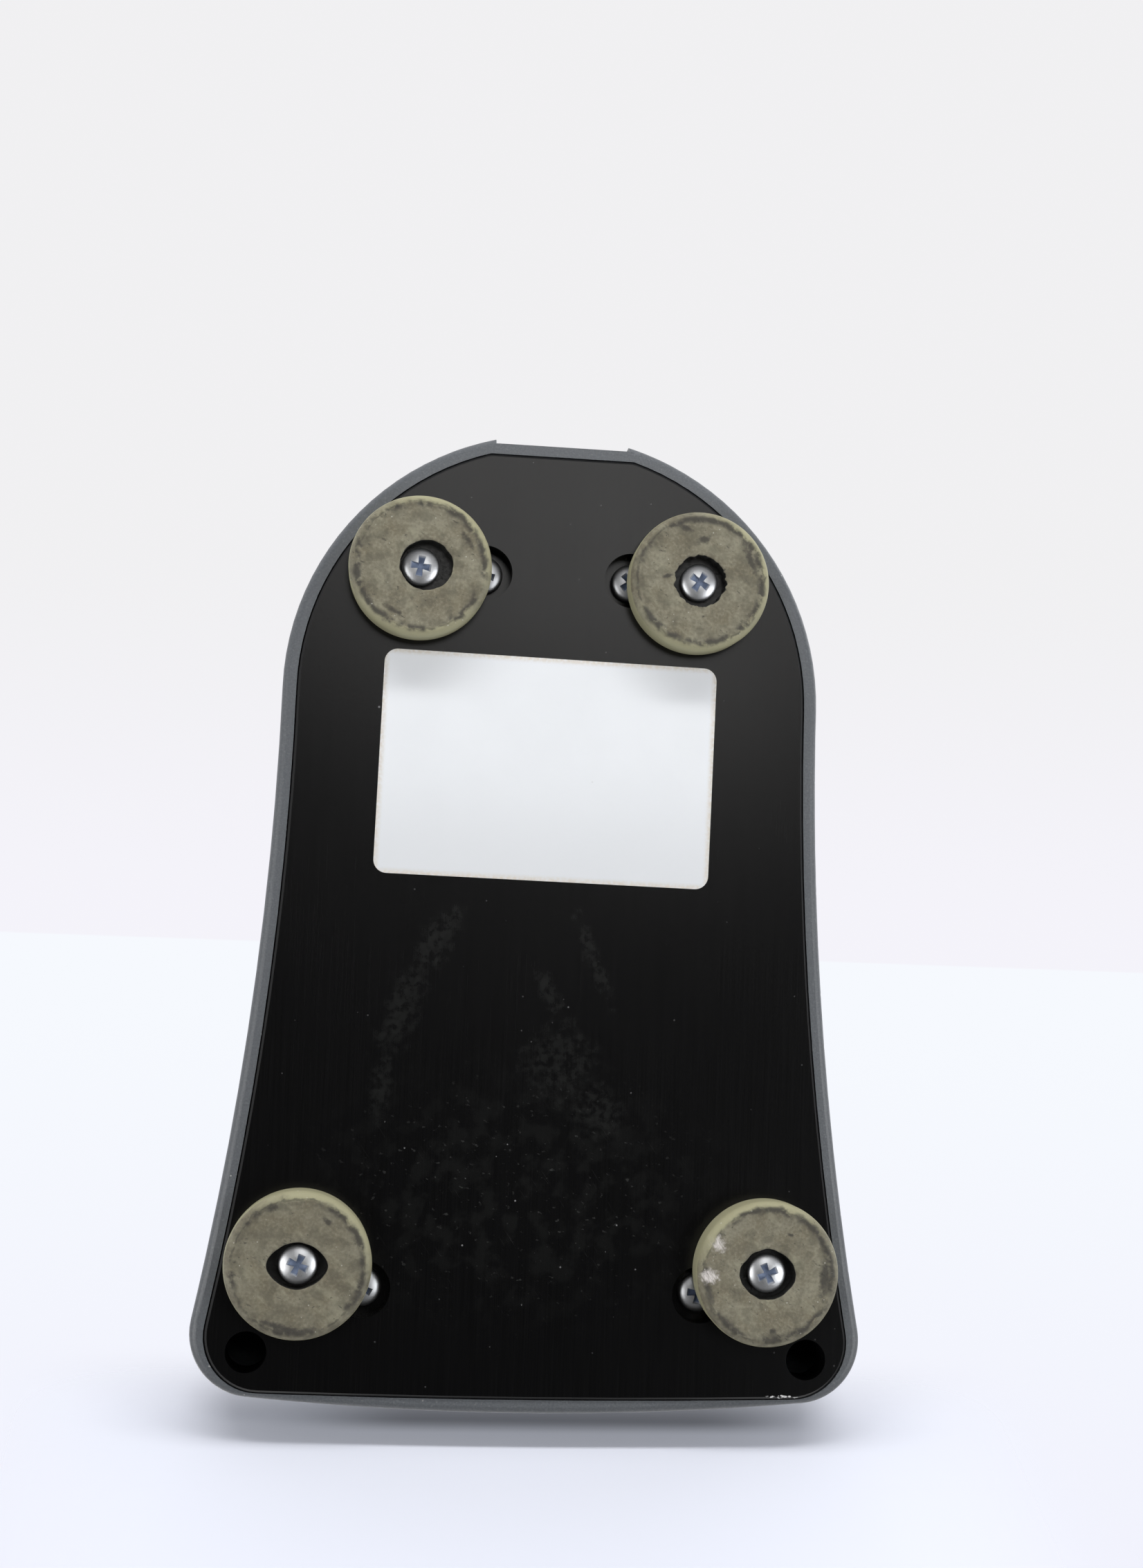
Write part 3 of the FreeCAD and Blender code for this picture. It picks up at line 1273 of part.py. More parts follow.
def make_thrust_end():
    flange_top = f"({PLATE_TOP} + guide_flange)"
    post = turned(
        "spring_post",
        [
            ("0", PLATE_TOP),
            ("guide_flange_radius", PLATE_TOP),
            ("guide_flange_radius", flange_top),
            ("guide_post_radius", flange_top),
            ("guide_post_radius", "guide_post_top"),
            ("0", "guide_post_top"),
        ],
    )
    node(on_axis(post), "spring_post")

    travel = f"cup_bottom - {flange_top} - 2 * (spring_wire_radius + spring_room)"
    pitch = f"({travel}) / spring_turns"
    spring = doc.addObject("Part::Feature", "thrust_spring")
    spring.Shape = coil_spring(number(pitch), int(number("spring_turns")))
    node(place(spring, "0", "motor_y", f"{flange_top} + spring_wire_radius + spring_room"), "thrust_spring")

    seat = "shaft_bottom"
    cup = turned(
        "thrust_cup",
        [
            ("cup_bore_radius", "cup_bottom"),
            ("cup_flange_radius", "cup_bottom"),
            ("cup_flange_radius", "cup_bottom + cup_flange"),
            ("cup_radius", "cup_bottom + cup_flange"),
            ("cup_radius", "cup_top"),
            ("shaft_radius + shaft_fit", "cup_top"),
            ("shaft_radius + shaft_fit", seat),
            ("0", seat),
            ("0", "cup_bottom + cup_bore_depth"),
            ("cup_bore_radius", "cup_bottom + cup_bore_depth"),
        ],
    )
    node(on_axis(cup), "thrust_cup")


def coil_spring(pitch, turns):
    """One unbroken helix of round wire."""
    radius = number("spring_mean_radius")
    wire = number("spring_wire_radius")
    path = Part.makeHelix(pitch, pitch * turns, radius)
    profile = Part.Wire([Part.makeCircle(wire, FreeCAD.Vector(radius, 0, 0), FreeCAD.Vector(0, 1, 0))])
    return Part.Wire(path.Edges).makePipeShell([profile], True, True)


def make_touch_switch():
    length = "(switch_far_x - switch_near_x)"
    block = box("touch_block", length, "2 * touch_half_width", "touch_height")
    place(block, "switch_near_x", "motor_y - touch_half_width", PLATE_TOP)
    pieces = [block]
    pin_room = "(lever_pin_radius + pot_shaft_fit)"
    for side, y in (("front", "-touch_half_width"), ("rear", "touch_half_width - touch_ear")):
        ear = box(f"touch_ear_{side}", "6 * lever_pin_radius", "touch_ear", f"touch_ear_top - {PLATE_TOP}")
        pieces.append(place(ear, "lever_pivot_x - 3 * lever_pin_radius", f"motor_y + {y}", PLATE_TOP))
    bore = cylinder("lever_pin_room", pin_room, "4 * touch_half_width")
    pivot_line(bore, "2 * touch_half_width")
    node(cut("touch_switch", fuse("touch_solid", pieces), bore), "touch_switch")

    blade_box = box("lever_blade", "lever_pivot_x - lever_tip_x", "2 * lever_half_width", "lever_thickness")
    place(blade_box, "lever_tip_x", "motor_y - lever_half_width", "lever_pivot_z - lever_thickness / 2")
    pin = cylinder("lever_pin", "lever_pin_radius", "2 * touch_half_width")
    pivot_line(pin, "touch_half_width")
    node(fuse("touch_lever", [blade_box, pin]), "touch_lever")


def pivot_line(thing, reach):
    """Lays a cylinder along Y through the lever's pivot."""
    return place(thing, "lever_pivot_x", f"motor_y + {reach}", "lever_pivot_z", (1, 0, 0), "90")


# Eccentric and head


def make_eccentric():
    hub = turned(
        "hub_turning",
        [
            ("shaft_radius", "hub_bottom"),
            ("hub_radius", "hub_bottom"),
            ("hub_radius", "hub_top"),
            ("0", "hub_top"),
            ("0", "shaft_top"),
            ("shaft_radius", "shaft_top"),
        ],
    )
    shoulder = cylinder("pin_shoulder", "pin_shoulder_radius", "bearing_bottom - hub_top")
    pin = cylinder("eccentric_pin", "pin_radius", "pin_top - hub_top")
    pieces = [on_axis(hub)]
    for piece in (shoulder, pin):
        pieces.append(place(piece, "throw", "motor_y", "hub_top"))
    screw_room = set_screw("set_screw_room")
    node(cut("eccentric_hub", fuse("eccentric_solid", pieces), screw_room), "eccentric_hub")
    node(set_screw("hub_set_screw"), "hub_set_screw")

    weight = cylinder("weight_half", "weight_radius", "weight_height")
    weight.Angle = 180
    place(weight, "0", "motor_y", "hub_bottom", (0, 0, 1), "90")
    hole = place(cylinder("weight_hole", "hub_radius", "weight_height"), "0", "motor_y", "hub_bottom")
    node(cut("counterweight", weight, hole), "counterweight")


def set_screw(name):
    screw = cylinder(name, "set_screw_radius", "hub_radius - shaft_radius - 1")
    return place(screw, "shaft_radius", "motor_y", "(hub_bottom + shaft_top) / 2", (0, 1, 0), "90")


def make_bearing():
    top = "(bearing_bottom + bearing_height)"
    middle = "bearing_bottom + bearing_height / 2"
    track = doc.addObject("Part::Torus", "ball_track")
    track.setExpression("Radius1", bound("ball_circle"))
    track.setExpression("Radius2", bound("race_radius"))
    place(track, "throw", "motor_y", middle)
    rings = (
        ("bearing_inner_ring", "bearing_bore", "bearing_inner"),
        ("bearing_outer_ring", "bearing_outer", "bearing_radius"),
    )
    for label, inner, outer in rings:
        blank = turned(f"{label}_blank", ring_section(inner, outer, "bearing_bottom", top))
        node(cut(label, on_axis(blank, "throw"), track), label)
    balls = []
    for index in range(int(number("ball_count"))):
        turn = f"360 / ball_count * {index} * 1deg"
        ball = doc.addObject("Part::Sphere", f"ball_{index}")
        ball.setExpression("Radius", bound("ball_radius"))
        x = f"throw + ball_circle * cos({turn})"
        balls.append(place(ball, x, f"motor_y + ball_circle * sin({turn})", middle))
    node(group("bearing_balls", balls), "bearing_balls")


def make_head():
    seat = "(bearing_bottom + bearing_height)"
    roof = f"({seat} + head_relief_depth)"
    top = "(platform_bottom + platform_thickness)"
    body = turned(
        "platform_turning",
        [
            ("bearing_radius", "head_hub_bottom"),
            ("head_hub_radius", "head_hub_bottom"),
            ("head_hub_radius", "platform_bottom"),
            ("platform_radius", "platform_bottom"),
            ("platform_radius", top),
            ("screw_shank_radius", top),
            ("screw_shank_radius", roof),
            ("head_relief_radius", roof),
            ("head_relief_radius", seat),
            ("bearing_radius", seat),
        ],
    )
    holes = []
    for index in range(int(number("guide_pin_count"))):
        hole = cylinder(f"platform_hole_{index}", PLATFORM_HOLE, "platform_thickness")
        x, y = guide_pin_spot(index, "throw")
        holes.append(place(hole, x, y, "platform_bottom"))
    node(cut("head_platform", on_axis(body, "throw"), fuse("platform_holes", holes)), "head_platform")

    rim = "head_top"
    cup = turned(
        "cup_head",
        [
            ("head_skirt_inner", "head_skirt_bottom"),
            ("head_radius", "head_skirt_bottom"),
            ("head_radius", "head_shoulder"),
            ("head_top_radius", rim),
            ("bowl_radius", rim),
            ("bowl_floor_radius", "bowl_floor"),
            ("head_screw_recess", "bowl_floor"),
            ("head_screw_recess", "head_screw_seat"),
            ("foot_bore_radius", "head_screw_seat"),
            ("foot_bore_radius", top),
            ("cup_hollow_inner", top),
            ("cup_hollow_inner", "cup_hollow_top"),
            ("cup_hollow_outer", "cup_hollow_top"),
            ("cup_hollow_outer", top),
            ("head_skirt_inner", top),
        ],
    )
    soften(cup, "rim_edge", ring_at("head_top_radius", rim))
    soften(cup, "rim_edge", ring_at("bowl_radius", rim))
    soften(cup, "bowl_round", ring_at("bowl_floor_radius", "bowl_floor"))
    soften(cup, "bowl_round", ring_at("head_radius", "head_shoulder"))
    soften(cup, "skirt_edge", ring_at("head_radius", "head_skirt_bottom"))
    node(on_axis(cup, "throw"), "cup_head")

    screw = pan_screw("head", "head_screw_length")
    link = doc.addObject("App::Link", "head_screw_turned")
    link.LinkedObject = screw
    place(link, "throw", "motor_y", "head_screw_seat + screw_head_height", (1, 0, 0), "180")
    node(group("head_screw", [link]), "head_screw")


PLATFORM_HOLE = "guide_pin_radius + throw + guide_clearance"


def make_collar():
    top = "(housing_top + collar_height)"
    ring = turned("collar_ring", ring_section("head_opening_radius", "collar_radius", "housing_top", top))
    soften(ring, "collar_edge", ring_at("collar_radius", top))
    on_axis(ring)
    holes = []
    pins = []
    for index in range(int(number("guide_pin_count"))):
        x, y = guide_pin_spot(index)
        hole = cylinder(f"collar_hole_{index}", "guide_pin_radius", "collar_height")
        holes.append(place(hole, x, y, "housing_top"))
        pin = turned(
            f"guide_pin_{index}",
            [
                ("0", "housing_top - wall"),
                ("guide_pin_radius", "housing_top - wall"),
                ("guide_pin_radius", "guide_pin_top"),
                ("0", "guide_pin_top"),
            ],
        )
        soften(pin, "collar_edge", ring_at("guide_pin_radius", "guide_pin_top"))
        pins.append(place(pin, x, y))
    node(cut("head_collar", ring, fuse("collar_holes", holes)), "head_collar")
    node(group("guide_pins", pins), "guide_pins")


# Control board


def make_board():
    level = f"({PLATE_TOP} + standoff_height)"
    surface = f"({level} + board_thickness)"
    spots = []
    for x in ("-board_half_width + board_inset", "board_half_width - board_inset"):
        for y in ("board_front_y + board_inset", "board_front_y + board_depth - board_inset"):
            spots.append((x, y))
    sheet_box = box("board_sheet", "2 * board_half_width", "board_depth", "board_thickness")
    place(sheet_box, "-board_half_width", "board_front_y", level)
    hole = cylinder("board_hole", "board_hole_radius", "board_thickness")
    holes = copies("board_holes", hole, [(x, y, level) for x, y in spots])
    node(cut("control_board", sheet_box, holes), "control_board")

    thread = "board_screw_length - board_thickness"
    standoff = turned(
        "standoff",
        [
            ("0", "0"),
            ("standoff_radius", "0"),
            ("standoff_radius", "standoff_height"),
            ("board_screw_radius", "standoff_height"),
            ("board_screw_radius", f"standoff_height - ({thread})"),
            ("0", f"standoff_height - ({thread})"),
        ],
    )
    node(copies("board_standoffs", standoff, [(x, y, PLATE_TOP) for x, y in spots]), "board_standoffs")
    screw = turned(
        "board_screw",
        [
            ("0", "-board_screw_length"),
            ("board_screw_radius", "-board_screw_length"),
            ("board_screw_radius", "0"),
            ("board_screw_head", "0"),
            ("board_screw_head", "board_screw_rise"),
            ("0", "board_screw_rise"),
        ],
    )
    node(copies("board_screws", screw, [(x, y, surface) for x, y in spots]), "board_screws")

    can = cylinder("motor_capacitor", "capacitor_radius", "capacitor_height")
    node(place(can, "capacitor_x", "capacitor_y", surface), "motor_capacitor")
    block = box("sink_block", "sink_width", "sink_depth", "sink_height")
    place(block, "sink_x", "sink_y", surface)
    slots = []
    for index in range(int(number("sink_fins"))):
        slot = box(f"sink_slot_{index}", "sink_slot", "sink_depth", "sink_height")
        x = f"sink_x + sink_width / sink_fins * ({index} + 0.5) - sink_slot / 2"
        slots.append(place(slot, x, "sink_y", f"{surface} + sink_web"))
    node(cut("heat_sink", block, fuse("sink_slots", slots)), "heat_sink")
    terminals = box("terminal_block", "terminal_width", "terminal_depth", "terminal_height")
    node(place(terminals, "-terminal_width / 2", "terminal_y", surface), "terminal_block")


# Leads inside the case


def lead_tube(points, radius):
    """A round lead along straight runs, with the widest arcs that the runs allow between them."""
    spots = [FreeCAD.Vector(*point) for point in points]
    edges = []
    start = spots[0]
    for before, here, after in zip(spots, spots[1:], spots[2:]):
        inward = (here - before).normalize()
        outward = (after - here).normalize()
        turn = inward.getAngle(outward)
        reach = ARC_SHARE * min((here - before).Length, (after - here).Length)
        bend = reach / math.tan(turn / 2)
        entry = here - inward * reach
        leave = here + outward * reach
        toward = (outward - inward).normalize()
        middle = here + toward * (bend / math.cos(turn / 2) - bend)
        edges.append(Part.LineSegment(start, entry).toShape())
        edges.append(Part.Arc(entry, middle, leave).toShape())
        start = leave
    edges.append(Part.LineSegment(start, spots[-1]).toShape())
    path = Part.Wire(edges)
    ring = Part.Wire([Part.makeCircle(radius, spots[0], spots[1] - spots[0])])
    tube = path.makePipeShell([ring], True, False)
    expected = math.pi * radius**2 * path.Length
    if abs(tube.Volume - expected) > 0.01 * expected:
        raise RuntimeError("a lead's volume is wrong")
    return tube


ARC_SHARE = 0.45


def make_leads():
    board_level = number(f"{PLATE_TOP} + standoff_height + board_thickness")
    clamp = board_level + number("terminal_height") / 2
    under = number("lead_level")
    inlet_back = number("flat_y - inlet_body_depth")
    block_front = number("terminal_y")
    block_rear = number("terminal_y + terminal_depth")
    radius = number("lead_radius")
    inlet_lead = doc.addObject("Part::Feature", "inlet_lead")
    inlet_lead.Shape = lead_tube(
        [
            (-9, inlet_back, under + 4),
            (-9, 66, under + 4),
            (-20, 18, under),
            (-41, -12, under),
            (-41, -54, under),
            (-24, -67, under),
            (-9, -67, under + 4),
            (-5, block_front - 8, clamp),
            (-5, block_front, clamp),
        ],
        radius,
    )
    node(inlet_lead, "inlet_lead")
    motor_lead = doc.addObject("Part::Feature", "motor_lead")
    motor_lead.Shape = lead_tube(
        [
            (-3, block_rear, clamp),
            (-3, block_rear + 10, clamp),
            (-4, -16, clamp + 6),
            (-10, -2, clamp + 20),
            (-14, 8, clamp + 28),
            (-14, number("motor_y - motor_radius") + 2, clamp + 28),
        ],
        radius,
    )
    node(motor_lead, "motor_lead")


make_base_plate()
make_feet()
make_screws()
make_label()
make_housing()
make_panel()
make_potentiometer()
make_knob()
make_rocker_switch()
make_inlet()
make_fuse_drawer()
make_motor()
make_rotor()
make_thrust_end()
make_touch_switch()
make_eccentric()
make_bearing()
make_head()
make_collar()
make_board()
make_leads()
doc.recompute()

faults = []
for thing in doc.Objects:
    if "Invalid" in thing.State or "Error" in thing.State:
        faults.append(f"{thing.Name}: {thing.State}")
for thing in nodes:
    shape = Part.getShape(thing)
    if shape.isNull() or not shape.isValid() or not shape.Solids:
        faults.append(f"{thing.Label}: no valid solid")
if faults:
    raise RuntimeError("; ".join(faults))

os.makedirs("parts", exist_ok=True)
for thing in nodes:
    shape = Part.getShape(thing)
    shape.exportStep(os.path.join("parts", f"{thing.Label}.step"))
    reach = shape.BoundBox
    print(
        f"{thing.Label}: {len(shape.Solids)} solid(s), {shape.Volume:.0f} mm3,",
        f"z {reach.ZMin:.1f} to {reach.ZMax:.1f}",
    )
print(len(nodes), "sub-parts")
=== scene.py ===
"""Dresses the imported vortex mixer: finishes, worn feet, screws, printing, knob, switch, cup and studio."""

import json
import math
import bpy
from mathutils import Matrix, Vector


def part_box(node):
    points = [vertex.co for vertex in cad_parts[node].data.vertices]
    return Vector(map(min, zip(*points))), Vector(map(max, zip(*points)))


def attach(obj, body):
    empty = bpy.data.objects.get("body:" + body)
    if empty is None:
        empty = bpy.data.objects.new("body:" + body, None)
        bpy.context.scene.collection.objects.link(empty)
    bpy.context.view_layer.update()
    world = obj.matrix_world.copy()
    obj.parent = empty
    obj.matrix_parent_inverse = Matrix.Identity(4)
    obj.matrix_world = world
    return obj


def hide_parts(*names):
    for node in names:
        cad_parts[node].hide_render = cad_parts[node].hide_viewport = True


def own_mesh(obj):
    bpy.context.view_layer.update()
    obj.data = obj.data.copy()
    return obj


bl_info = {
    "name": "Vortex Mixer",
    "version": (1, 0, 0),
    "blender": (4, 5, 0),
    "location": "View3D > Sidebar > Mixer",
    "description": "Models and finishes a bench vortex mixer round its packed frame",
    "category": "Object",
}

from typing import NamedTuple

import bmesh
import bpy
from bpy.props import FloatProperty, FloatVectorProperty, IntProperty, PointerProperty
from bpy.types import Operator, Panel, PropertyGroup
from mathutils import Matrix, Vector, noise
from mathutils.bvhtree import BVHTree

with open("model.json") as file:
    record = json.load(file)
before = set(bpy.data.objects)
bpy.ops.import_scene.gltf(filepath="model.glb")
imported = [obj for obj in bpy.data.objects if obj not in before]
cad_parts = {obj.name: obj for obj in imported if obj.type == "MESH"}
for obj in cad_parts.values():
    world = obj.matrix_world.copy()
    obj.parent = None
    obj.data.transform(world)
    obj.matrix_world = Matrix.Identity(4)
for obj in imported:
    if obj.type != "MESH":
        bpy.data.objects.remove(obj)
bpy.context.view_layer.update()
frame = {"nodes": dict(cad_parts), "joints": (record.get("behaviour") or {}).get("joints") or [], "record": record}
NODES = frame["nodes"]
JOINTS = {joint["name"]: joint for joint in frame["joints"]}
SLOT_OF = {part["node"]: part["material_slot"] for part in frame["record"]["subparts"]}
REPLACED = set()
MM = 0.001
MERGE = 1e-4
ROUND_STEPS = 5

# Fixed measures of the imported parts, in millimetres and radians
DECK_SLOPE = math.radians(30.0)
PANEL_TOP = 1.0
KNOB_X = 24.0
ROCKER_PIVOT_HEIGHT = 1.6
PLATE_FACE = 7.0
LABEL_TURN = math.radians(0.74)
LABEL_HALF_WIDTH = 38.1
LABEL_HALF_DEPTH = 25.4
PRINT_LIFT = 0.03


# settings


def size_of(name, about, millimetres):
    return FloatProperty(name=name, description=about, default=millimetres * MM, unit="LENGTH", precision=5)


def colour_of(name, about, default):
    return FloatVectorProperty(
        name=name, description=about, default=default, subtype="COLOR", min=0.0, max=1.0
    )


def angle_of(name, about, degrees):
    return FloatProperty(name=name, description=about, default=math.radians(degrees), subtype="ANGLE")


def share_of(name, about, default):
    return FloatProperty(name=name, description=about, default=default, subtype="FACTOR", min=0.0, max=1.0)


def level_of(name, about, default):
    return FloatProperty(name=name, description=about, default=default, min=0.0)


class PaintSettings(PropertyGroup):
    """Colours of the housing, plate, label and moulded pieces."""

    housing: colour_of("Housing", "Grey textured paint of the casting", (0.108, 0.117, 0.128))
    plate: colour_of("Base plate", "Black satin paint under the mixer", (0.0018, 0.0018, 0.0020))
    label: colour_of("Label", "Pale film of the bare label", (0.80, 0.825, 0.86))
    label_edge: colour_of("Label edge", "Warm glue line round the label", (0.62, 0.56, 0.47))
    panel: colour_of("Control panel", "Dark film on the sloped deck", (0.016, 0.017, 0.020))
    print_white: colour_of("Printing", "White ink of the dial and the switch marks", (0.80, 0.80, 0.78))
    black_plastic: colour_of("Black plastic", "Moulded knob, switch and inlet", (0.012, 0.012, 0.013))
    rubber: colour_of("Cup rubber", "Black rubber of the cup head", (0.017, 0.017, 0.018))


class FootSettings(PropertyGroup):
    """The four rubber feet."""

    radius: size_of("Radius", "Foot against the plate", 16.0)
    spread: size_of("Spread", "How much wider the foot is at its worn face", 0.1)
    recess_radius: size_of("Recess radius", "Screw recess before it tore", 6.0)
    recess_depth: size_of("Recess depth", "Depth of the screw recess", 3.8)
    bore_radius: size_of("Bore radius", "Bore for the foot screw", 2.3)
    edge_round: size_of("Edge round", "Round between the face and the side", 1.8)
    face: colour_of("Worn face", "Olive rubber under a film of dirt", (0.208, 0.193, 0.139))
    side: colour_of("Clean side", "Yellowed rubber of the side", (0.350, 0.338, 0.215))
    grime: colour_of("Grime", "Dark dirt round the worn face", (0.045, 0.042, 0.036))


class ScrewSettings(PropertyGroup):
    """Pan head cross screws."""

    head_radius: size_of("Head radius", "Pan head", 4.3)
    head_height: size_of("Head height", "Pan head", 2.7)
    cross_reach: size_of("Cross reach", "Middle to the end of an arm", 2.4)
    cross_width: size_of("Cross width", "Width of an arm at its end", 1.7)
    cross_depth: size_of("Cross depth", "Depth of the cross", 1.2)
    zinc: colour_of("Zinc", "Bright plated steel", (0.74, 0.755, 0.775))
    # The recess colour is a blue tinge with painted shade, darker than the zinc
    shade: colour_of("Recess", "Blue tinge and dirt inside the cross", (0.10, 0.145, 0.25))


class DialSettings(PropertyGroup):
    """Printing round the speed knob."""

    tick_start: size_of("Tick start", "Inner end of the dial marks", 18.4)
    tick_length: size_of("Tick length", "Numbered dial marks", 2.0)
    number_radius: size_of("Number radius", "Knob axis to the numbers", 22.7)
    number_size: size_of("Number size", "Height of the type", 3.3)
    sweep: angle_of("Sweep", "Turn of the knob each way from the middle", 135.0)
    numbers: IntProperty(name="Numbers", description="Numbered marks on the dial", default=10, min=2, max=12)
    switch_word: size_of("Switch words", "Middle of the switch to the middle of a word", 20.9)


class KnobSettings(PropertyGroup):
    """Flutes of the speed knob, measured up from the deck."""

    flutes: IntProperty(name="Flutes", description="Finger flutes round the knob", default=18, min=3)
    flute_depth: size_of("Flute depth", "Deepest place of a flute", 0.95)
    flute_start: size_of("Flute start", "Lower end of the flutes", 7.2)
    flute_end: size_of("Flute end", "Where the flutes begin to run out", 20.4)
    top: size_of("Top", "Upper edge of the knob", 21.2)


class HeadSettings(PropertyGroup):
    """The rubber cup head."""

    radius: size_of("Skirt radius", "Outside of the skirt", 38.0)
    top_radius: size_of("Rim radius", "Outside of the rim", 31.0)
    bowl_radius: size_of("Bowl radius", "Bowl at the rim", 26.0)
    bowl_floor: size_of("Bowl floor", "Bench to the floor of the bowl", 141.0)
    shoulder: size_of("Shoulder", "Bench to the top of the skirt", 137.0)


class StageSettings(PropertyGroup):
    """Floor, room, lamps and camera."""

    lens: FloatProperty(
        name="Lens", description="Focal length on a 36 mm frame", default=46.854, unit="CAMERA"
    )
    lean: angle_of("Lean", "How far the upended mixer leans back on the floor", 25.0)
    floor_end: size_of("Floor end", "Front end of the mixer to the far edge of the floor", 239.8)
    floor_colour: colour_of("Floor", "Pale cool floor", (0.81, 0.84, 0.94))
    floor_far: colour_of("Far floor", "Tone of the floor by its far edge", (0.922, 0.947, 0.991))
    floor_near: colour_of("Near floor", "Tone of the floor nearer the camera", (0.885, 0.893, 0.982))
    room_colour: colour_of("Room", "Pale room all round", (0.99, 0.985, 1.0))
    room_low: colour_of("Low room", "Tone of the room just above the floor's far edge", (0.908, 0.898, 0.955))
    floor_glow: share_of("Floor glow", "Part of the floor's paleness that shadow leaves", 0.05)
    room_glow: share_of("Room glow", "Level of the room overhead", 0.885)
    key: level_of("Key", "Level of the lamp above the camera", 0.15)
    over: level_of("Over", "Level of the tube lamp over the upended mixer", 0.86)
    sides: level_of("Sides", "Level of each lamp beside the camera", 0.35)
    top: level_of("Top", "Level of the lamp over the bench", 0.26)
    fill: level_of("Fill", "Level of the side lamp", 0.14)


# shading


class Value:
    """A number on a socket; arithmetic on it adds Math nodes."""

    def __init__(self, shading, socket):
        self.shading = shading
        self.socket = socket

    def __add__(self, other):
        return self.shading.maths("ADD", self, other)

    def __radd__(self, other):
        return self.shading.maths("ADD", other, self)

    def __sub__(self, other):
        return self.shading.maths("SUBTRACT", self, other)

    def __rsub__(self, other):
        return self.shading.maths("SUBTRACT", other, self)

    def __mul__(self, other):
        return self.shading.maths("MULTIPLY", self, other)

    def __rmul__(self, other):
        return self.shading.maths("MULTIPLY", other, self)

    def __abs__(self):
        return self.shading.maths("ABSOLUTE", self)

    def __or__(self, other):
        return self.shading.maths("MAXIMUM", self, other)

    def __ror__(self, other):
        return self.shading.maths("MAXIMUM", other, self)


def pick(sockets, key):
    """Finds a socket by its number, its identifier or its name."""
    if isinstance(key, int):
        return sockets[key]
    for socket in sockets:
        if socket.identifier == key:
            return socket
    return sockets[key]


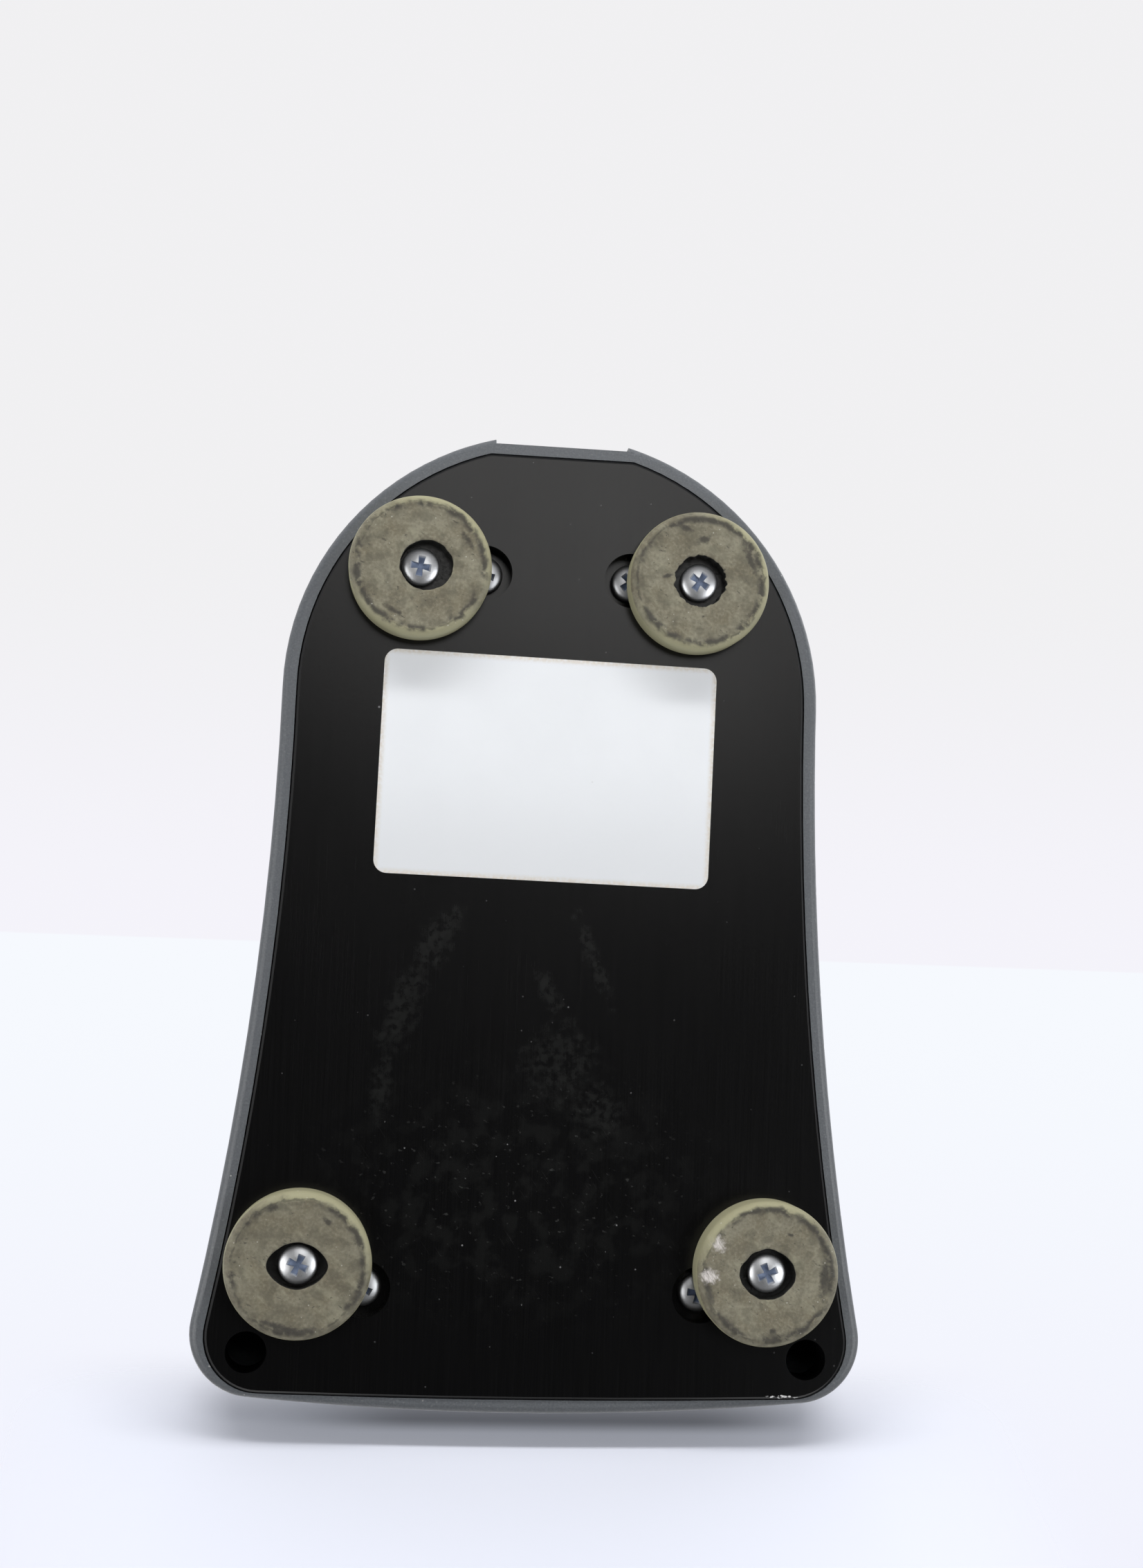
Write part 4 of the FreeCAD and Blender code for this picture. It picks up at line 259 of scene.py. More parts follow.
class Shading:
    """The nodes of one finish. Patterns are in millimetres on the object's own coordinates."""

    def __init__(self, tree):
        self.tree = tree
        tree.nodes.clear()

    def node(self, kind, settings=None, inputs=None, output=0):
        made = self.tree.nodes.new(kind)
        for name, setting in (settings or {}).items():
            setattr(made, name, setting)
        for name, value in (inputs or {}).items():
            socket = pick(made.inputs, name)
            if isinstance(value, Value):
                self.tree.links.new(value.socket, socket)
            elif socket.type == "RGBA":
                socket.default_value = (*value[:3], 1.0)
            else:
                socket.default_value = value
        return Value(self, pick(made.outputs, output)) if made.outputs else None

    def maths(self, operation, *values):
        return self.node("ShaderNodeMath", {"operation": operation}, dict(enumerate(values)))

    def about(self, centre=(0, 0, 0), size=(1, 1, 1), turn=0.0):
        """Coordinates round a centre, counted in the given sizes."""
        inputs = {
            "Vector": self.node("ShaderNodeTexCoord", output="Object"),
            "Location": Vector(centre) * MM,
            "Rotation": (0.0, 0.0, turn),
            "Scale": Vector(size) * MM,
        }
        return self.node("ShaderNodeMapping", {"vector_type": "TEXTURE"}, inputs)

    def along(self, vector, axis):
        return self.node("ShaderNodeSeparateXYZ", {}, {0: vector}, axis)

    def reach(self, vector):
        return self.node("ShaderNodeVectorMath", {"operation": "LENGTH"}, {0: vector}, "Value")

    def attribute(self, name):
        return self.node("ShaderNodeAttribute", {"attribute_name": name}, {}, "Fac")

    def grain(self, size, detail=2.0, turn=0.0, shift=0.0):
        """Cloudy noise whose lumps have the given size, or a size along each axis."""
        sizes = size if isinstance(size, tuple) else (size, size, size)
        at = self.about((shift, shift * 0.7, shift * 0.3), sizes, turn)
        return self.node("ShaderNodeTexNoise", {}, {"Vector": at, "Scale": 1.0, "Detail": detail})

    def specks(self, size, share, grow=0.28, shift=0.0):
        """Round dots in a share of the cells of a random net."""
        inputs = {"Vector": self.about((shift, shift, shift), (size, size, size)), "Scale": 1.0}
        gap = self.node("ShaderNodeTexVoronoi", {}, inputs, "Distance")
        chance = self.node("ShaderNodeTexVoronoi", {}, inputs, "Color")
        picked = self.ease(self.node("ShaderNodeSeparateColor", {}, {0: chance}), 1 - share, 1.02 - share)
        return self.ease(gap, grow, grow * 0.5) * picked

    def ease(self, value, low, high, start=0.0, end=1.0):
        """Runs smoothly from start at low to end at high, and stays level beyond them."""
        inputs = {"Value": value, "From Min": low, "From Max": high, "To Min": start, "To Max": end}
        return self.node("ShaderNodeMapRange", {"interpolation_type": "SMOOTHSTEP"}, inputs, "Result")

    def patch(self, centre, size, turn=0.0, ragged=0.5):
        """A stain with a ragged edge round a centre."""
        far = self.reach(self.about(centre, size, turn))
        return self.ease(far + (self.grain(1.1, 3.0) - 0.5) * (2 * ragged), 1.05, 0.75)

    def smudge(self, centre, size, turn, wisps):
        """A soft rubbed patch, thicker in its middle, whose edge follows a noise."""
        far = self.reach(self.about(centre, size, turn))
        return self.ease(far + (wisps - 0.5) * 1.6, 1.10, 0.25)

    def smudges(self, spots, level, thick, wisps):
        """Rubbed patches at a level, each with its place, half width, half depth and turn in degrees."""
        together = 0.0
        for x, y, width, depth, turn in spots:
            spot = self.smudge((x, y, level), (width, depth, thick), math.radians(turn), wisps)
            together = spot | together
        return together

    def blend(self, factor, first, second):
        inputs = {"Factor_Float": factor, "A_Color": first, "B_Color": second}
        return self.node("ShaderNodeMix", {"data_type": "RGBA"}, inputs, "Result_Color")

    def coats(self, colour, *coats):
        """Lays coats over a colour, each given as its cover and its own colour."""
        for cover, coat in coats:
            colour = self.blend(cover, colour, coat)
        return colour

    def relief(self, height, depth):
        """Bumps of the given depth, in millimetres."""
        return self.node("ShaderNodeBump", {}, {"Height": height, "Distance": depth * MM, "Strength": 1.0})

    def surface(self, colour, roughness, relief=None, more=None):
        inputs = {"Base Color": colour, "Roughness": roughness}
        if relief is not None:
            inputs["Normal"] = relief
        inputs.update(more or {})
        shader = self.node("ShaderNodeBsdfPrincipled", {}, inputs)
        self.node("ShaderNodeOutputMaterial", {}, {"Surface": shader})


def tint(colour, factor):
    return tuple(min(1.0, channel * factor) for channel in colour)


# finishes


# Colours that dirt, dust and wear leave on the finishes, and colours of painted shade and painted highlight,
# marked where they are used
HOUSING_CHIP_AND_GLINT = (0.36, 0.36, 0.37)
HOUSING_DUST = (0.50, 0.50, 0.48)
PLATE_HAZE = (0.0085, 0.0088, 0.0085)
PLATE_SCUFF = (0.016, 0.017, 0.016)
PLATE_FLECK = (0.034, 0.035, 0.034)
PLATE_DUST = (0.34, 0.34, 0.35)
PLATE_CHIP = (0.72, 0.72, 0.72)
FOOT_DULL = (0.158, 0.140, 0.094)
FOOT_FRESH = (0.238, 0.226, 0.166)
FOOT_LUMP = (0.148, 0.136, 0.098)
FOOT_PALE_GRAIN = (0.330, 0.315, 0.235)
FOOT_DARK_GRAIN = (0.110, 0.100, 0.072)
FOOT_SOOT = (0.088, 0.078, 0.056)
FOOT_BLEACHED = (0.300, 0.292, 0.210)
FOOT_SPECK = (0.52, 0.51, 0.45)
FOOT_WHITE = (0.74, 0.70, 0.68)
# Painted shade of the deep screw recess in each foot
FOOT_RECESS_SHADE = (0.014, 0.014, 0.013)
LABEL_DUST = (0.25, 0.24, 0.22)
PLASTIC_DUST = (0.42, 0.42, 0.41)
CUP_DUST = (0.060, 0.059, 0.056)
CUP_RUBBED = (0.060, 0.060, 0.060)

# Rubbed patches: place, half width, half depth and turn in degrees
PLATE_SCUFFS = (
    (24.5, -7.0, 4.6, 12.0, 30),
    (31.5, -22.0, 4.8, 14.0, 20),
    (35.5, -39.0, 3.2, 9.0, 6),
    (-1.5, -17.5, 2.8, 7.0, -30),
    (-4.5, -33.0, 10.5, 11.0, -20),
    (-13.0, -43.0, 7.0, 9.5, -48),
    (-11.0, -9.0, 2.4, 13.0, -22),
)
FOOT_DIRT = (
    (-32.3, 86.8, 2.1, 1.3, -20),
    (-28.1, 89.1, 2.0, 0.9, 15),
    (-24.2, 77.9, 1.6, 0.5, -15),
    (-43.2, 82.6, 1.0, 5.0, -26),
    (37.6, 66.6, 3.0, 0.8, 25),
    (21.5, 83.4, 0.8, 3.2, -35),
    (58.2, -65.6, 2.0, 1.2, 0),
    (46.0, -68.3, 1.4, 0.8, 40),
    (55.5, -91.0, 6.5, 0.9, 15),
    (-64.6, -78.4, 1.3, 5.8, 4),
    (-53.2, -90.4, 1.0, 0.9, 0),
    (-56.7, -69.1, 1.1, 0.4, 15),
)
FOOT_WHITE_MARKS = (
    (-40.0, -71.0, 3.2, 1.8, 43),
    (-38.5, -78.6, 2.4, 2.0, 0),
)


def housing_paint(f):
    paint = bpy.context.scene.mixer_paint.housing
    fleck = f.grain(0.45, 3.0)
    cloud = f.grain(26, 3.0)
    height = f.along(f.about(), "Z")
    # Chips on the rim's lower round: partly worn paint, partly a painted speckled highlight along that ridge
    chips = f.ease(height, 8.6, 7.7) * f.ease(f.grain(0.5, 3.0, shift=9), 0.60, 0.70)
    dust = f.specks(2.6, 0.05, 0.10) * f.ease(height, 30, 8)
    colour = f.coats(
        f.blend(f.ease(fleck, 0.32, 0.70), tint(paint, 0.86), tint(paint, 1.10)),
        (f.ease(cloud, 0.35, 0.75) * 0.25, tint(paint, 0.78)),
        (chips * 0.15, HOUSING_CHIP_AND_GLINT),
        (dust * 0.6, HOUSING_DUST),
    )
    roughness = 0.40 + (fleck - 0.5) * 0.22 + (cloud - 0.5) * 0.12
    f.surface(colour, roughness, f.relief(f.grain(0.5, 2.0) + f.grain(1.6, 1.0) * 0.8, 0.045))


def plate_paint(f):
    paint = bpy.context.scene.mixer_paint.plate
    brushed = f.grain((0.14, 24, 4), 3.0)
    cloud = f.grain(34, 4.0)
    wisps = f.grain((2.6, 3.4, 3.0), 6.0, shift=12)
    powder = f.ease(f.grain(1.5, 8.0, shift=40), 0.34, 0.66)
    scuffs = f.smudges(PLATE_SCUFFS, PLATE_FACE, 9, wisps) * powder
    worn = f.ease(f.reach(f.about((4, -62, PLATE_FACE), (60, 36, 30))), 1.0, 0.25)
    haze = worn * f.ease(f.grain((4.2, 5.2, 4.0), 8.0, 0.4, 60), 0.46, 0.64)
    flecks = worn * f.ease(f.grain((1.6, 1.1, 1.2), 4.0, 0.3, 3), 0.64, 0.72)
    scratches = worn * f.ease(f.grain((0.22, 7.0, 6), 2.0, -0.6, 3), 0.68, 0.74)
    dust = (f.specks(2.3, 0.10, 0.11) * (0.25 + worn)) | f.specks(9.0, 0.22, 0.035, 4)
    front = f.ease(f.along(f.about(), "Y"), -104.6, -105.8)
    broken = f.ease(f.grain(0.9, 3.0, shift=5), 0.50, 0.56)
    chips = front * broken * f.patch((-57.2, -106.1, 7.5), (3.6, 0.40, 3), 0.0, 1.1)
    colour = f.coats(
        f.blend(f.ease(brushed, 0.3, 0.75), tint(paint, 0.7), tint(paint, 1.3)),
        (haze * 0.55, PLATE_HAZE),
        (scuffs * 0.40, PLATE_SCUFF),
        (flecks * 0.8 + scratches * 0.3, PLATE_FLECK),
        (dust * 0.5, PLATE_DUST),
        (chips, PLATE_CHIP),
    )
    roughness = 0.255 + (brushed - 0.5) * 0.07 + (cloud - 0.5) * 0.05 + scuffs * 0.05
    relief = f.relief(brushed * 0.6 + f.grain(0.45, 2.0) * 0.6, 0.010)
    f.surface(colour, roughness, relief, {"Specular IOR Level": 0.36})


def foot_rubber(f):
    """Worn olive rubber: a dirty face inside a ring of grime, clean sides, a lighter edge at given angles, and a
    recess painted near black as shade.
    """
    feet = bpy.context.scene.mixer_feet
    recess = f.attribute("recess")
    clean = f.attribute("clean")
    depth = f.along(f.about(), "Z")
    cloud = f.grain(6.0, 5.0)
    lumps = f.grain(2.2, 6.0, shift=4)
    fine = f.grain(0.70, 5.0, shift=5)
    wisps = f.grain(1.0, 5.0, shift=52)
    line = f.attribute("from_middle") + (f.grain(2.4, 6.0, shift=2) - 0.5) * 0.11
    # The side colour covers the sides, and toward the given angles it also runs in over the face's edge
    side = f.ease(depth + (lumps - 0.5) * 0.5, 0.85, 1.45) | (clean * f.ease(line, 0.86, 0.925))
    face = 1 - side
    dirty = f.ease(f.grain(6.5, 3.0, shift=31), 0.40, 0.54)
    torn = f.ease(f.grain(2.0, 5.0, shift=77), 0.34, 0.52)
    ring = f.ease(line, 0.80, 0.88) * f.ease(line, 0.96, 0.90) * dirty * torn
    thread = f.ease(abs(line - 0.90), 0.022, 0.006) * f.ease(lumps, 0.40, 0.55) * 0.6
    streaks = f.ease(f.grain(3.5, 5.0, shift=90), 0.42, 0.66)
    smear = f.ease(line, 0.66, 0.86) * f.ease(line, 0.98, 0.90) * streaks
    stains = f.ease(f.grain(3.2, 7.0, shift=14), 0.48, 0.66)
    bleached = f.ease(f.grain((8.0, 3.0, 6.0), 6.0, 0.7, 47), 0.52, 0.68)
    pits = f.ease(f.grain(0.9, 2.0, shift=21), 0.69, 0.75)
    marks = f.ease(f.grain((2.4, 1.1, 2.0), 4.0, 0.5, 63), 0.64, 0.74) * f.ease(cloud, 0.42, 0.55)
    pocked = pits | marks
    specks = f.specks(1.7, 0.30, 0.12) * f.ease(cloud, 0.36, 0.58)
    threads = f.ease(f.grain((1.4, 0.30, 0.6), 4.0, 1.1), 0.30, 0.60, 0.35, 1.0)
    white = threads * f.smudges(FOOT_WHITE_MARKS, 0, 2, wisps)
    dirt = f.smudges(FOOT_DIRT, 0, 2, wisps)
    colour = f.coats(
        f.blend(f.ease(cloud, 0.32, 0.68), FOOT_DULL, FOOT_FRESH),
        (f.ease(lumps, 0.38, 0.66) * 0.55, FOOT_LUMP),
        (f.ease(fine, 0.46, 0.66) * 0.32, FOOT_PALE_GRAIN),
        (f.ease(fine, 0.46, 0.30) * 0.38, FOOT_DARK_GRAIN),
        (f.attribute("soot") * 0.36, FOOT_SOOT),
        (bleached * 0.45, FOOT_BLEACHED),
        (side * 0.92, feet.side),
        (stains * face * 0.52, tint(feet.face, 0.46)),
        (smear * (1 - clean * 0.7) * 0.60, tint(feet.face, 0.40)),
        (pocked * face * 0.65, feet.grime),
        ((ring | thread) * 0.90, feet.grime),
        (dirt * face * 0.85, feet.grime),
        (specks * 0.7, FOOT_SPECK),
        (white * face * 0.85, FOOT_WHITE),
        # Painted shade: the screw recess is near black, darker than its rubber
        (recess, FOOT_RECESS_SHADE),
    )
    roughness = 0.58 + (fine - 0.5) * 0.3 - ring * 0.08 - recess * 0.22
    relief = f.relief(lumps + fine * 0.6 - pocked * 0.5 - ring * 0.5, 0.12)
    f.surface(colour, roughness, relief, {"Specular IOR Level": 0.4})


def zinc_screw(f):
    screw = bpy.context.scene.mixer_screws
    recess = f.attribute("recess")
    satin = f.grain(0.30, 3.0)
    spots = f.ease(f.grain(1.1, 3.0, shift=3), 0.6, 0.72)
    colour = f.coats(
        f.blend(satin, tint(screw.zinc, 0.88), screw.zinc),
        (spots * 0.18, tint(screw.zinc, 0.45)),
        # Inside the cross: blue tinge and painted shade
        (recess * 0.92, screw.shade),
    )
    roughness = 0.34 + satin * 0.10 + recess * 0.06
    metallic = 1 - recess * 0.7
    f.surface(colour, roughness, f.relief(f.grain(0.7, 2.0), 0.010), {"Metallic": metallic})


def label_film(f):
    """Bare pale film with a warm glue line at its edge, and painted shade that darkens it towards the front."""
    paint = bpy.context.scene.mixer_paint
    low, high = box_mm("rating_label")
    here = f.about((low + high) / 2, (1, 1, 1), LABEL_TURN)
    along = f.along(here, "Y")
    edge = (abs(f.along(here, "X")) - LABEL_HALF_WIDTH) | (abs(along) - LABEL_HALF_DEPTH)
    wave = f.grain(18, 3.0)
    fibre = f.grain(0.7, 3.0)
    dust = f.specks(4.5, 0.10, 0.07)
    colour = f.coats(
        f.blend(f.ease(wave, 0.3, 0.7), tint(paint.label, 0.985), tint(paint.label, 1.01)),
        # Painted shade: the film darkens towards its front edge
        (f.ease(along, 6.0, -LABEL_HALF_DEPTH), tint(paint.label, 0.88)),
        (f.ease(edge, -1.5, -0.1) * f.ease(fibre, 0.25, 0.7, 0.25, 0.8), paint.label_edge),
        (dust * 0.5, LABEL_DUST),
    )
    roughness = 0.40 + (fibre - 0.5) * 0.14 + (wave - 0.5) * 0.1
    f.surface(colour, roughness, f.relief(wave * 3 + fibre * 0.3, 0.02))


def moulded(colour, rough, grain_size, depth):
    """A moulded plastic or rubber with a fine sparked skin."""

    def make(f):
        base = getattr(bpy.context.scene.mixer_paint, colour) if isinstance(colour, str) else colour
        skin = f.grain(grain_size, 3.0)
        cloud = f.grain(14, 3.0)
        dust = f.specks(3.4, 0.08, 0.10)
        mixed = f.coats(
            f.blend(f.ease(skin, 0.3, 0.7), tint(base, 0.82), tint(base, 1.22)),
            (f.ease(cloud, 0.4, 0.75) * 0.3, tint(base, 1.5)),
            (dust * 0.35, PLASTIC_DUST),
        )
        f.surface(mixed, rough + (skin - 0.5) * 0.16 + (cloud - 0.5) * 0.12, f.relief(skin, depth))

    return make


def metal(colour, rough, line_size):
    """A machined or drawn metal with fine lines."""

    def make(f):
        lines = f.grain(line_size, 3.0)
        cloud = f.grain(9, 3.0)
        mixed = f.blend(f.ease(lines, 0.3, 0.7), tint(colour, 0.82), tint(colour, 1.06))
        mixed = f.blend(f.ease(cloud, 0.5, 0.75) * 0.3, mixed, tint(colour, 0.62))
        roughness = rough + (lines - 0.5) * 0.2 + (cloud - 0.5) * 0.1
        f.surface(mixed, roughness, f.relief(lines, 0.010), {"Metallic": 1.0})

    return make


def head_rubber(f):
    base = bpy.context.scene.mixer_paint.rubber
    skin = f.grain(0.4, 3.0)
    cloud = f.grain(12, 4.0)
    height = f.along(f.about(), "Z")
    rubbed = f.ease(height, 158.5, 161.5) * f.ease(cloud, 0.35, 0.62)
    dust = f.ease(f.grain(3.0, 5.0, shift=8), 0.5, 0.8)
    colour = f.coats(
        f.blend(f.ease(skin, 0.3, 0.7), tint(base, 0.8), tint(base, 1.25)),
        (dust * 0.22, CUP_DUST),
        (rubbed * 0.5, CUP_RUBBED),
    )
    roughness = 0.60 + (skin - 0.5) * 0.2 - rubbed * 0.16
    f.surface(colour, roughness, f.relief(skin + f.grain(1.4, 2.0) * 0.6, 0.03))


def winding_wire(f):
    lines = f.grain((3.0, 3.0, 0.22), 2.0)
    colour = f.blend(f.ease(lines, 0.35, 0.65), (0.20, 0.060, 0.022), (0.60, 0.235, 0.105))
    f.surface(colour, 0.30 + (lines - 0.5) * 0.2, f.relief(lines, 0.08), {"Metallic": 0.85})


def board_laminate(f):
    weave = f.grain((0.5, 0.16, 1.0), 2.0)
    traces = f.ease(f.grain((7.0, 0.9, 3.0), 1.0), 0.52, 0.55)
    colour = f.blend(f.ease(weave, 0.3, 0.7), (0.012, 0.075, 0.032), (0.020, 0.105, 0.045))
    colour = f.blend(traces * 0.6, colour, (0.040, 0.170, 0.070))
    f.surface(colour, 0.36 + (weave - 0.5) * 0.12, f.relief(weave * 0.4 + traces, 0.03))


def fuse_tube(f):
    clouded = f.grain(2.0, 3.0)
    colour = f.blend(f.ease(clouded, 0.3, 0.7), (0.80, 0.84, 0.84), (0.90, 0.93, 0.92))
    f.surface(colour, 0.05 + clouded * 0.05, None, {"Transmission Weight": 0.9, "IOR": 1.5})


FINISH_MAKERS = {
    "housing_paint": housing_paint,
    "plate_paint": plate_paint,
    "foot_rubber": foot_rubber,
    "zinc_screw": zinc_screw,
    "label_film": label_film,
    "panel_film": moulded("panel", 0.42, 0.30, 0.012),
    "knob_plastic": moulded("black_plastic", 0.46, 0.32, 0.020),
    "pointer_paint": moulded("print_white", 0.45, 0.40, 0.008),
    "switch_plastic": moulded("black_plastic", 0.30, 0.50, 0.010),
    "inlet_plastic": moulded("black_plastic", 0.40, 0.36, 0.016),
    "blade_metal": metal((0.66, 0.64, 0.58), 0.24, (0.2, 5.0, 0.2)),
    "fuse_tube": fuse_tube,
    "head_rubber": head_rubber,
    "collar_plastic": moulded((0.020, 0.020, 0.022), 0.44, 0.34, 0.016),
    "machined_steel": metal((0.56, 0.57, 0.58), 0.28, (1.5, 1.5, 0.16)),
    "machined_aluminium": metal((0.76, 0.77, 0.78), 0.32, (1.2, 1.2, 0.20)),
    "motor_paint": moulded((0.050, 0.054, 0.060), 0.42, 0.60, 0.030),
    "winding_wire": winding_wire,
    "bushing_bronze": metal((0.62, 0.40, 0.19), 0.30, (1.2, 1.2, 0.20)),
    "inner_plastic": moulded((0.52, 0.51, 0.46), 0.40, 0.40, 0.012),
    "board_laminate": board_laminate,
    "capacitor_sleeve": moulded((0.020, 0.045, 0.130), 0.30, 0.50, 0.010),
    "lead_sleeve": moulded((0.030, 0.030, 0.032), 0.38, 0.50, 0.012),
}
MADE_FINISHES = {}


def finish_for(slot):
    """The finish of a material slot, made when it is first asked for."""
    if slot not in MADE_FINISHES:
        material = bpy.data.materials.new("mixer " + slot.replace("_", " "))
        material.use_nodes = True
        FINISH_MAKERS[slot](Shading(material.node_tree))
        MADE_FINISHES[slot] = material
    return MADE_FINISHES[slot]


def dress(*names):
    """Gives CAD nodes the finish of their own slot."""
    for name in names:
        for slot in NODES[name].material_slots:
            slot.material = finish_for(SLOT_OF[name])


# modelling


def mm(length):
    """A length setting, in millimetres."""
    return length / MM


def box_mm(name):
    low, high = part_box(name)
    return Vector(low) / MM, Vector(high) / MM


def turned(points, steps, closed=True):
    """Spins an outline of (radius, height) points round the Z axis; a third number rounds that corner."""
    bm = bmesh.new()
    verts = [bm.verts.new((point[0], 0.0, point[1])) for point in points]
    for first, second in zip(verts, verts[1:]):
        bm.edges.new((first, second))
    if closed:
        bm.edges.new((verts[-1], verts[0]))
    for vert, point in zip(verts, points):
        if len(point) > 2:
            round_corner(bm, [vert], point[2])
    geometry = bm.verts[:] + bm.edges[:]
    bmesh.ops.spin(
        bm, geom=geometry, axis=(0, 0, 1), cent=(0, 0, 0), angle=math.tau, steps=steps, use_merge=True
    )
    return tidied(bm)


def round_corner(bm, verts, radius):
    bmesh.ops.bevel(
        bm, geom=verts, offset=radius, affect="VERTICES", segments=ROUND_STEPS, profile=0.5, material=-1
    )


def tidied(bm):
    """Merges doubles, turns every face outwards, and makes the mesh anew in an order that no run changes."""
    bmesh.ops.remove_doubles(bm, verts=bm.verts, dist=MERGE)
    bmesh.ops.recalc_face_normals(bm, faces=bm.faces)
    bm.verts.index_update()
    ordered = bmesh.new()
    layers = [(layer, ordered.verts.layers.float.new(name)) for name, layer in bm.verts.layers.float.items()]
    verts = []
    for source in bm.verts:
        vert = ordered.verts.new(source.co)
        for layer, own in layers:
            vert[own] = source[layer]
        verts.append(vert)
    for corners in sorted([vert.index for vert in face.verts] for face in bm.faces):
        ordered.faces.new([verts[corner] for corner in corners])
    bm.free()
    return ordered


def put(bm, matrix):
    bmesh.ops.transform(bm, matrix=matrix, verts=bm.verts)


def add_into(target, source):
    """Adds one mesh to another and lets the first go."""
    mesh = bpy.data.meshes.new("carried")
    source.to_mesh(mesh)
    source.free()
    target.from_mesh(mesh)
    bpy.data.meshes.remove(mesh)


def new_piece(name, bm, body, slot, stands_for=(), crease=32.0):
    """Makes a millimetre mesh an object of the mixer that moves with a body."""
    bmesh.ops.scale(bm, vec=(MM, MM, MM), verts=bm.verts)
    mesh = bpy.data.meshes.new(name)
    bm.to_mesh(mesh)
    bm.free()
    mesh.shade_smooth()
    mesh.set_sharp_from_angle(angle=math.radians(crease))
    mesh.materials.append(finish_for(slot))
    piece = bpy.data.objects.new(name, mesh)
    bpy.context.scene.collection.objects.link(piece)
    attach(piece, body)
    if stands_for:
        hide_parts(*stands_for)
        REPLACED.update(stands_for)
    return piece


def merged_copy(node):
    """A CAD node's mesh in millimetres, with its loose triangles joined."""
    bm = bmesh.new()
    bm.from_mesh(NODES[node].data)
    bmesh.ops.scale(bm, vec=(1 / MM, 1 / MM, 1 / MM), verts=bm.verts)
    bmesh.ops.remove_doubles(bm, verts=bm.verts, dist=MERGE)
    return bm


def softened_copy(node, body, width, corner=28.0):
    """Stands for a CAD node with the same shape and small rounds along its edges."""
    bm = merged_copy(node)
    bmesh.ops.dissolve_limit(bm, angle_limit=math.radians(0.4), verts=bm.verts, edges=bm.edges)
    piece = new_piece("soft_" + node, bm, body, SLOT_OF[node], (node,))
    round_edges(piece, width, corner)
    return piece


def round_edges(piece, width, corner):
    """Rounds every edge that turns by more than the corner angle."""
    rounds = piece.modifiers.new("Edge rounds", "BEVEL")
    rounds.width = width * MM
    rounds.segments = 2
    rounds.limit_method = "ANGLE"
    rounds.angle_limit = math.radians(corner)


def joint_frame(name):
    """The place and slope of a joint on the deck: Z stands off the deck and Y runs up it."""
    joint = JOINTS[name]
    slope = Matrix.Rotation(DECK_SLOPE, 4, "X")
    return Matrix.Translation(Vector(joint["pos_m"]) / MM) @ slope


def strip(bm, low, high, matrix):
    """A thin printed bar between two corners of a flat place."""
    width = high[0] - low[0]
    depth = high[1] - low[1]
    centre = Matrix.Translation(((low[0] + high[0]) / 2, (low[1] + high[1]) / 2, 0.0))
    shape = matrix @ centre @ Matrix.Diagonal((width / 2, depth / 2, 1.0, 1.0))
    bmesh.ops.create_grid(bm, x_segments=1, y_segments=1, size=1.0, matrix=shape)


def keep_border(bm, width):
    """Leaves only a band of the given width inside the edge of a flat face."""
    faces = bm.faces[:]
    bmesh.ops.inset_region(bm, faces=faces, thickness=width, use_boundary=True, use_even_offset=True)
    bmesh.ops.delete(bm, geom=faces, context="FACES")


def lettering(bm, text, size, matrix):
    """Flat type, made a mesh and put in its place."""
    curve = bpy.data.curves.new("type", "FONT")
    curve.body = text
    curve.size = size
    curve.align_x = "CENTER"
    curve.align_y = "CENTER"
    curve.resolution_u = 4
    holder = bpy.data.objects.new("type", curve)
    mesh = bpy.data.meshes.new_from_object(holder)
    mesh.transform(matrix)
    bm.from_mesh(mesh)
    bpy.data.objects.remove(holder)
    bpy.data.curves.remove(curve)
    bpy.data.meshes.remove(mesh)


# feet and screws


class FootWear(NamedTuple):
    """How one foot has worn.

    Its torn hole has a width and a depth, a power (2 is an ellipse, less is pointed), a shift and ragged
    teeth. A list of angles points to where the side's lighter colour runs in over the edge of its face, and
    soot darkens its face.
    """

    node: str
    width: float
    depth: float
    power: float
    shift: tuple
    ragged: float
    teeth: float
    seed: float
    clean: tuple
    soot: float


FOOT_WEAR = (
    FootWear("foot_front_right", 13.3, 10.1, 1.75, (0.1, 0.0), 0.012, 2.0, 3.0, (120,), 0.55),
    FootWear("foot_front_left", 12.7, 11.1, 1.8, (0.2, 0.0), 0.018, 2.5, 11.0, (70,), 0.20),
    FootWear("foot_rear_right", 11.9, 11.3, 2.0, (-1.3, 0.15), 0.018, 3.0, 23.0, (125, 272), 0.05),
    FootWear("foot_rear_left", 11.8, 11.7, 2.0, (0.0, 0.0), 0.035, 5.5, 37.0, (165, 262), 0.20),
)
FOOT_STEPS = 180
FACE_RINGS = 14
EDGE_STEPS = 7
TEAR_REACH = 5.0


class MIXER_OT_feet(Operator):
    """Model the four worn rubber feet"""

    bl_idname = "mixer.feet"
    bl_label = "Rubber feet"

    def execute(self, context):
        settings = context.scene.mixer_feet
        for wear in FOOT_WEAR:
            model_foot(settings, wear)
        return {"FINISHED"}


